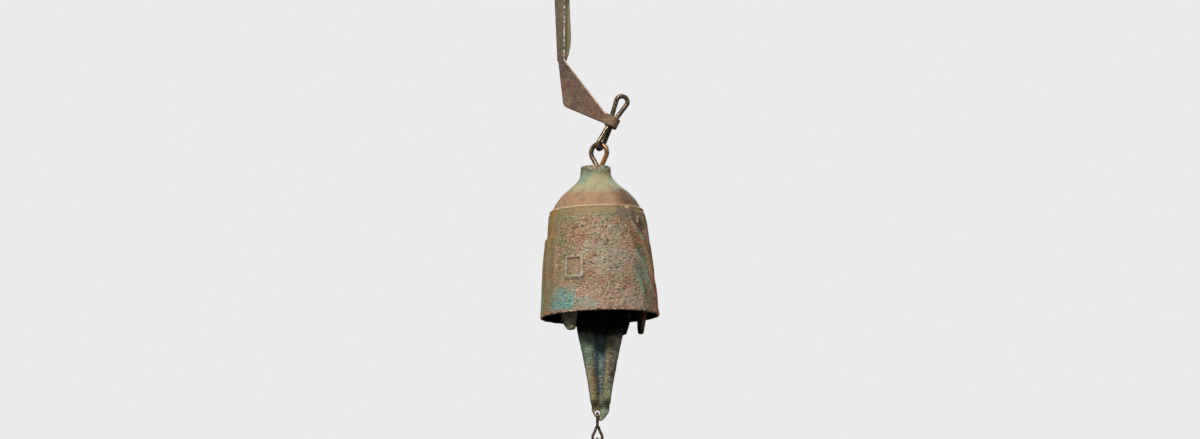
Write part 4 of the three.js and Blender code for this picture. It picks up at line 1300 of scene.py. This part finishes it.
def clapper_lug():
    """A round-topped lug with a hole, standing fore and aft on the crown."""
    bore = bow_bore(ROD_WIRE, ROD_EYE_BOW, LUG_THICKNESS)
    radius = bore + LUG_WALL
    side = Vector((LUG_THICKNESS / 2, 0, 0))
    sag = Vector((0, 0, GAP))
    points = []
    for i in range(LUG_STEPS):
        angle = 2 * math.pi * i / LUG_STEPS
        way = Vector((0, math.cos(angle), math.sin(angle)))
        reach = radius
        if way.z < 0:
            reach = min((NECK_DROP + LUG_WALL) / -way.z, radius / max(abs(way.y), 0.01))
        near = way * bore - sag
        far = way * reach - sag
        points += [near - side, far - side, far + side, near + side]
    return points, ring_faces(LUG_STEPS, 4, True)


def tail_bore():
    """A cutter for the hole in the tail's tip."""
    radius = bow_bore(TAIL_WIRE, TAIL_BOW, TONGUE_THICKNESS)
    angles = [2 * math.pi * j / TAIL_BORE_SIDES for j in range(TAIL_BORE_SIDES)]
    rings = []
    for end in (-CROWN_RADIUS, CROWN_RADIUS):
        middle = clapper_pivot + Vector((TAIL_BORE_OFFSET, end, -TAIL_BORE_DROP))
        rings.append([middle + radius * Vector((math.cos(angle), 0, math.sin(angle))) for angle in angles])
    cutter = new_piece("tail_bore_cutter", *solid_rings(rings))
    outward(cutter)
    return cutter


def clapper():
    """The core, the lug and the fingers made one, bored at the tip, painted, and skinned as a casting."""
    points = []
    faces = []
    parts = [clapper_core(), clapper_lug()]
    parts += [clapper_finger(*finger) for finger in FINGERS]
    for part_points, part_faces in parts:
        start = len(points)
        points.extend(clapper_pivot + point for point in part_points)
        faces.extend(tuple(start + corner for corner in face) for face in part_faces)
    piece = new_piece("clapper_cast", points, faces)
    outward(piece)
    bore = tail_bore()
    fused(piece, CLAPPER_VOXEL, softening=0)
    cut = piece.modifiers.new("tail_bore", "BOOLEAN")
    cut.operation = "DIFFERENCE"
    cut.object = bore
    as_plain_mesh(piece)
    bpy.data.objects.remove(bore)
    fused(piece, CLAPPER_VOXEL, softening=4)
    spots = [vertex.co / MM - clapper_pivot for vertex in piece.data.vertices]
    paint(piece, [clapper_grain(spot) for spot in spots], [clapper_bare(spot) for spot in spots],
          [clapper_tint(spot) for spot in spots])
    cast_over(piece, CLAPPER_GRAIN, CLAPPER_LUMPS, seed=11.0, finish=CLAPPER_BRONZE)
    return piece


# The clapper's patina

# Drops below the pivot at which its colour changes
TAIL_LIGHT = (46, 58)
TAIL_LIGHT_END = (TIP_DROP - 6, TIP_DROP - 14)
LEFT_LOBE_OCHRE = (78, 98)
RIGHT_LOBE_GREEN = (92, 112)
FLUTE_DARKENS = (76, 96)
TONGUE_LIGHT_DROP = 116
TONGUE_LIGHT_WIDTH = 5
# Drops at which the painted shadow of the bell's rim starts and is full, on the left lobe and on the right
LEFT_RIM_SHADOW = (71, 58)
RIGHT_RIM_SHADOW = (66, 61)
SMOOTH_CROWN = (66, 54)
FINGER_LIGHT = (FINGER_ROOT_DROP - 6, FINGER_ROOT_DROP)
TIP_METAL = (TIP_DROP - 4, TIP_DROP - 1)

# Distances from the axis, and to the right of it
FINGER_START = (28, 33)
LOBES_MEET = (-2.0, 2.0)
SHADES_MEET = (-3, 3)
SHADED_FINGER_SIDE = (-4, 10)
LIT_FINGER_EDGE = (34, 38)

# Angles about the axis
CREST_HIGHLIGHT_WIDTH = 0.16
FLUTE_TINT = (math.radians(19), math.radians(27))
FLUTE_SIDE = math.radians(23)
FLUTE_SHADE_WIDTH = 0.09
FLUTE_LIGHT_WIDTH = 0.1


def finger_tint(spot):
    """Olive with small green and rosy scales."""
    scales = speckle(spot, 2.6, 1.0)
    return layered(FINGER_OLIVE, [
        (GREEN_LOBE, 0.8 * smooth(0.52, 0.64, scales)),
        (ROSE_BROWN, 0.6 * smooth(0.46, 0.34, scales)),
    ])


def clapper_tint(spot):
    """Painted rim shadow on the crown and tail top, a green lobe turning ochre, a brown one turning green, a
    blue-grey flute between, and painted light and shade on the lobes and fingers.
    """
    drop = -spot.z
    close = speckle(spot, 7.0, 6.0)
    from_lobe = off_lobe(math.atan2(spot.y, spot.x))
    from_front = math.atan2(spot.x, -spot.y)
    left = GREEN_LOBE.lerp(OCHRE_LOBE, smooth(*LEFT_LOBE_OCHRE, drop + 14 * (close - 0.5)))
    right = BROWN_LOBE.lerp(GREEN_FOOT, smooth(*RIGHT_LOBE_GREEN, drop + 10 * (close - 0.5)))
    flute = FLUTE_BLUE.lerp(WIRE_DARK, 0.5 * smooth(*FLUTE_DARKENS, drop))
    # Painted shadow of the rim: black on the lobes, with a faint painted reflection in the flutes
    shade = PAINTED_SHADE_BLACK.lerp(FLUTE_SHADE_SHEEN, smooth(FLUTE_START, FLUTE_END, from_lobe))
    on_tail = smooth(*TAIL_LIGHT, drop) * smooth(*TAIL_LIGHT_END, drop)
    pale_lit_crest = peak(from_lobe, CREST_HIGHLIGHT_WIDTH) * smooth(0.4, 0.6, close)
    on_finger = smooth(*FINGER_START, math.hypot(spot.x, spot.y)) * smooth(*FINGER_LIGHT, drop)
    to_right = smooth(*SHADES_MEET, spot.x)
    shade_starts, shade_full = (lerp(*drops, to_right) for drops in zip(LEFT_RIM_SHADOW, RIGHT_RIM_SHADOW))
    rim_shadow = smooth(shade_starts, shade_full, drop) * (1 - on_finger)
    return layered(left, [
        (right, smooth(*LOBES_MEET, spot.x)),
        # A painted highlight along each lobe's crest
        (FLECK_GREEN, 0.4 * pale_lit_crest * on_tail),
        (flute, 0.9 * on_tail * smooth(*FLUTE_TINT, from_lobe)),
        # Painted shade on the front flute's left wall, which faces away from the light, and painted light on
        # its right wall
        (WIRE_DARK, 0.45 * on_tail * peak(from_front + FLUTE_SIDE, FLUTE_SHADE_WIDTH)),
        (OLIVE_PAINTED_LIGHT, 0.8 * on_tail * peak(from_front - FLUTE_SIDE, FLUTE_LIGHT_WIDTH)),
        # Painted light across the tail where it turns down into the flat tip and falls into shade
        (OLIVE_PAINTED_LIGHT, 0.45 * peak(drop - TONGUE_LIGHT_DROP, TONGUE_LIGHT_WIDTH)),
        # Painted shadow of the bell's rim over the crown and the tail's top
        (shade, rim_shadow),
        (finger_tint(spot), on_finger),
        # Painted shade on the fingers at the right, which hang in the bell's shadow
        (PAINTED_SHADE_BLACK, 0.93 * on_finger * smooth(*SHADED_FINGER_SIDE, spot.x)),
        # Painted light on the fingers' right edges
        (EDGE_ORANGE, 0.55 * on_finger * smooth(*LIT_FINGER_EDGE, spot.x)),
        (SOOT_AND_SHADE, 0.25 * smooth(0.4, 0.22, close)),
    ])


def clapper_grain(spot):
    """Smooth up inside the bell and nearly so on the fingers at the right, where shade is painted; grainy on
    the left finger's end and the tail.
    """
    outward_share = smooth(*FINGER_START, math.hypot(spot.x, spot.y))
    crown = smooth(*SMOOTH_CROWN, -spot.z) * (1 - outward_share)
    shaded_finger = outward_share * smooth(*SHADED_FINGER_SIDE, spot.x)
    return lerp(0.75, 0.0, max(crown, 0.8 * shaded_finger))


def clapper_bare(spot):
    """Bright metal in spots at the tail's tip."""
    return 0.9 * smooth(*TIP_METAL, -spot.z) * smooth(0.4, 0.6, speckle(spot, 3.0, 8.0))


# Sheet pieces

toe_top = toe + link_axis * (TOE_WIDTH / 2)
notch = toe_top - Vector((math.cos(LINK_TILT), 0, -math.sin(LINK_TILT))) * TOE_LENGTH
edge_top = Vector((-EDGE_REACH, 0, -EDGE_TOP))
edge_foot = Vector((-EDGE_REACH, 0, -EDGE_FOOT))

# Heights above the flange's foot, and places, at which the hanger's colour changes
ARM_START = (-2, 12)
FIN_START = (-4, -22)
REAR_START = (-4, 6)
CORNER_START = (-22, -36)
REAR_DEPTH = (1.5, 3.0)
FRONT_DEPTH = (2.0, 1.2)
CORNER_SIDE = (-4, -22)
FIN_ORANGE_SIDE = (-20, -4)
RUSTY_TOE = (13, 6)
BEAD_WIDTH = (1.5, 0.7)
SLOPE_WIDTH = (1.4, 0.6)


def skin_of(node, name):
    """A merged copy of a solid's surface, as a piece of its own."""
    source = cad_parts[node]
    piece = bpy.data.objects.new(name, source.data.copy())
    bpy.context.collection.objects.link(piece)
    piece.data.materials.clear()
    work = bmesh.new()
    work.from_mesh(piece.data)
    bmesh.ops.remove_doubles(work, verts=work.verts, dist=MERGE_SOLID)
    work.to_mesh(piece.data)
    work.free()
    return piece


def hanger_tint(spot):
    """Olive on the arm, paler behind with painted light on the rear flange, brown on the fin with an olive
    corner, and rusty by the toe.
    """
    close = speckle(spot, 8.0, 2.0)
    above = spot.z + EDGE_FOOT
    fin = smooth(*FIN_START, above)
    corner = smooth(*CORNER_SIDE, spot.x) * smooth(*CORNER_START, above)
    return layered(ARM_BROWN, [
        (FIN_BROWN, fin),
        (ARM_OLIVE, smooth(*ARM_START, above + 10 * (close - 0.5))),
        # Painted light on the rear flange, which faces away from the key light and lies in the front flange's
        # shade
        (REAR_LIT_OLIVE, 0.9 * smooth(*REAR_DEPTH, spot.y) * smooth(*REAR_START, above)),
        (OLIVE_BROWN, 0.3 * corner * smooth(0.3, 0.6, close)),
        (EDGE_ORANGE, 0.1 * fin * smooth(*FIN_ORANGE_SIDE, spot.x)),
        (RUST_BROWN, 0.5 * smooth(*RUSTY_TOE, (spot - toe).length) * smooth(0.3, 0.6, close)),
    ])


def off_line(spot, start, end):
    """How far a spot is from a straight edge, seen from the front."""
    flat = Vector((spot.x, 0, spot.z))
    begin = Vector((start.x, 0, start.z))
    run = Vector((end.x, 0, end.z)) - begin
    share = min(1.0, max(0.0, (flat - begin).dot(run) / run.length_squared))
    return (flat - begin - run * share).length


def hanger_bare(spot, normal):
    """Bright along the front flange's free edge, in beads, and along the fin's sloping edge: part worn metal,
    part painted highlight on the lit edges.
    """
    in_front = smooth(*FRONT_DEPTH, spot.y)
    on_flange = smooth(*BEAD_WIDTH, off_line(spot, edge_top, edge_foot))
    beads = smooth(0.38, 0.56, speckle(spot, 2.4, 5.0)) * on_flange
    slope = 0.8 * smooth(*SLOPE_WIDTH, off_line(spot, edge_foot, notch))
    return in_front * max(beads, slope)


def sail_tint(spot):
    """Dark rust and olive in blotches, with verdigris here and there."""
    return layered(RUST_BROWN.lerp(SOOT_AND_SHADE, 0.35), [
        (OLIVE_BROWN.lerp(SOOT_AND_SHADE, 0.3), smooth(0.4, 0.6, speckle(spot, 10.0, 3.0))),
        (TURQUOISE, 0.6 * smooth(0.6, 0.72, speckle(spot, 17.0, 8.0))),
    ])


def sail_bare(spot, normal):
    """Worn bright on the edges, which face away from front and back."""
    return smooth(0.9, 0.5, abs(normal.y))


def sheet_piece(node, name, voxel, tint_at, bare_at, dents, seed):
    """A sheet piece: the solid's own surface, worn round, painted and dented."""
    piece = skin_of(node, name)
    fused(piece, voxel, softening=3)
    spots = [vertex.co / MM for vertex in piece.data.vertices]
    normals = [vertex.normal for vertex in piece.data.vertices]
    bares = [bare_at(spot, normal) for spot, normal in zip(spots, normals)]
    paint(piece, [1.0] * len(spots), bares, [tint_at(spot) for spot in spots])
    cast_over(piece, SHEET_GRAIN, dents, seed, SHEET_BRONZE)
    return piece


# The bell's pieces

pieces = []


def keep(piece, body, node, slot):
    pieces.append((piece, body, node, slot))


def keep_wire(node, body, line, place, wire, seed, finish=WIRE_BRONZE):
    keep(wire_piece(node + "_wire", line, place, wire, seed, finish), body, node, "wire_bronze")


arm = sheet_piece("hanger_arm", "hanger_arm_sheet", ARM_VOXEL, hanger_tint, hanger_bare, ARM_DENTS, seed=2.0)
keep(arm, "hanger", "hanger_arm", "sheet_bronze")
link_line = looped_wire(HANGER_WIRE, LINK_TOP_BOW, LINK_TOP_REACH, link_waist, LINK_BOTTOM_BOW,
                        LINK_BOTTOM_REACH, LINK_TURN)
keep_wire("hanger_link", "link", link_line, link_place, HANGER_WIRE, seed=1.0)
keep(bell_shell(), "bell", "bell_shell", "cast_bronze")
loop_line = looped_wire(HANGER_WIRE, EYE_BOW, EYE_REACH, loop_waist, INNER_EYE_BOW, INNER_EYE_REACH,
                        -eye_turn)
keep_wire("bell_loop", "bell", loop_line, loop_place, HANGER_WIRE, seed=2.0, finish=LOOP_BRONZE)
rod_line = looped_wire(ROD_WIRE, ROD_EYE_BOW, ROD_EYE_REACH, rod_waist, ROD_EYE_BOW, ROD_EYE_REACH,
                       QUARTER_TURN)
keep_wire("clapper_rod", "rod", rod_line, rod_place, ROD_WIRE, seed=3.0)
keep(clapper(), "clapper", "clapper", "clapper_bronze")
tail_line = looped_wire(TAIL_WIRE, TAIL_BOW, TAIL_REACH, TAIL_WAIST, TAIL_BOW, TAIL_REACH, QUARTER_TURN)
for number in range(1, TAIL_LINKS + 1):
    link_top = chain_crest - Vector((0, 0, (number - 1) * tail_pitch))
    tail_place = Matrix.Translation(link_top) @ sideways
    keep_wire(f"tail_link_{number}", f"tail_{number}", tail_line, tail_place, TAIL_WIRE, seed=4.0 + number)
keep_wire("sail_ring", "ring", open_ring(RING_RADIUS), Matrix.Translation(ring_middle), TAIL_WIRE, seed=9.0)
sail = sheet_piece("sail", "sail_sheet", SAIL_VOXEL, sail_tint, sail_bare, SAIL_DENTS, seed=6.0)
keep(sail, "sail", "sail", "sheet_bronze")

for piece, body, node, slot in pieces:
    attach(piece, body)
    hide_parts(node)


# Stage, light and camera

VIEW_UP = math.radians(8.3)
VIEW_DISTANCE = 4.0
VIEW_WIDTH = 1.008
VIEW_MIDDLE = Vector((0.9, hang_line, -222.2)) * MM
VIEW_LIMIT = 100
SENSOR_WIDTH = 36
FLOOR_DROP = 3000.0
FLOOR_HALF = 3000.0
FLOOR_SHADE = Vector((0.8, 0.8, 0.8))
FLOOR_ROUGHNESS = 0.8
FLOOR_GLOW = 0.77
BACKDROP_SHADE = (0.88, 0.88, 0.88, 1)
SKY_LIGHT = 0.13
BACKDROP_LIGHT = 0.95


def pale_paint(name):
    """A plain matt paint with a faint unevenness, lit a little from within like a light table."""
    work = Finish(name)
    cloud = work.noise(size=400.0, detail=2.0)
    base = work.mix(work.stretch(cloud, 0.3, 0.7), FLOOR_SHADE, FLOOR_SHADE * 0.97)
    work.feed(work.shader.inputs["Emission Color"], base)
    work.shader.inputs["Emission Strength"].default_value = FLOOR_GLOW
    return work.shade(base, 0.0, FLOOR_ROUGHNESS)


corners = ((-1, -1), (1, -1), (1, 1), (-1, 1))
floor_points = [(x * FLOOR_HALF, y * FLOOR_HALF, -FLOOR_DROP) for x, y in corners]
floor = new_piece("floor", floor_points, [(0, 1, 2, 3)])
floor.data.materials.append(pale_paint("pale_floor"))
floor.visible_diffuse = False
floor.visible_glossy = False


def area_light(name, turn, lift, distance, size, power, tint):
    """A soft light aimed at the bell from a turn to the right of the viewer and a lift above."""
    lamp = bpy.data.lights.new(name, "AREA")
    lamp.shape = "DISK"
    lamp.size = size
    lamp.energy = power
    lamp.color = tint
    light = bpy.data.objects.new(name, lamp)
    turn = math.radians(turn)
    lift = math.radians(lift)
    way = Vector((math.sin(turn) * math.cos(lift), -math.cos(turn) * math.cos(lift), math.sin(lift)))
    light.location = VIEW_MIDDLE + way * distance
    light.rotation_euler = way.to_track_quat("Z", "Y").to_euler()
    bpy.context.collection.objects.link(light)


area_light("key_light", turn=-20, lift=37, distance=2.6, size=0.32, power=66, tint=(1.0, 0.98, 0.95))
area_light("left_fill", turn=-78, lift=22, distance=2.4, size=1.0, power=8, tint=(1.0, 0.98, 0.96))
area_light("right_fill", turn=74, lift=24, distance=2.4, size=1.0, power=14, tint=(1.0, 0.97, 0.94))
area_light("back_fill", turn=165, lift=35, distance=3.0, size=1.6, power=30, tint=(1.0, 0.98, 0.96))

world = bpy.data.worlds.new("pale_studio")
world.use_nodes = True
sky = Tree(world.node_tree)
background = world.node_tree.nodes["Background"]
seen = sky.add("ShaderNodeLightPath").outputs["Is Camera Ray"]
background.inputs["Color"].default_value = BACKDROP_SHADE
sky.feed(background.inputs["Strength"], sky.sum("MULTIPLY_ADD", seen, BACKDROP_LIGHT - SKY_LIGHT, SKY_LIGHT))
bpy.context.scene.world = world
bpy.context.scene.view_settings.view_transform = "Standard"

camera_data = bpy.data.cameras.new("photo_camera")
camera_data.sensor_width = SENSOR_WIDTH
camera_data.lens = SENSOR_WIDTH * VIEW_DISTANCE / VIEW_WIDTH
camera_data.clip_end = VIEW_LIMIT
camera = bpy.data.objects.new("photo_camera", camera_data)
look = Vector((0, math.cos(VIEW_UP), math.sin(VIEW_UP)))
camera.location = VIEW_MIDDLE - look * VIEW_DISTANCE
camera.rotation_euler = look.to_track_quat("-Z", "Y").to_euler()
bpy.context.collection.objects.link(camera)
bpy.context.scene.camera = camera
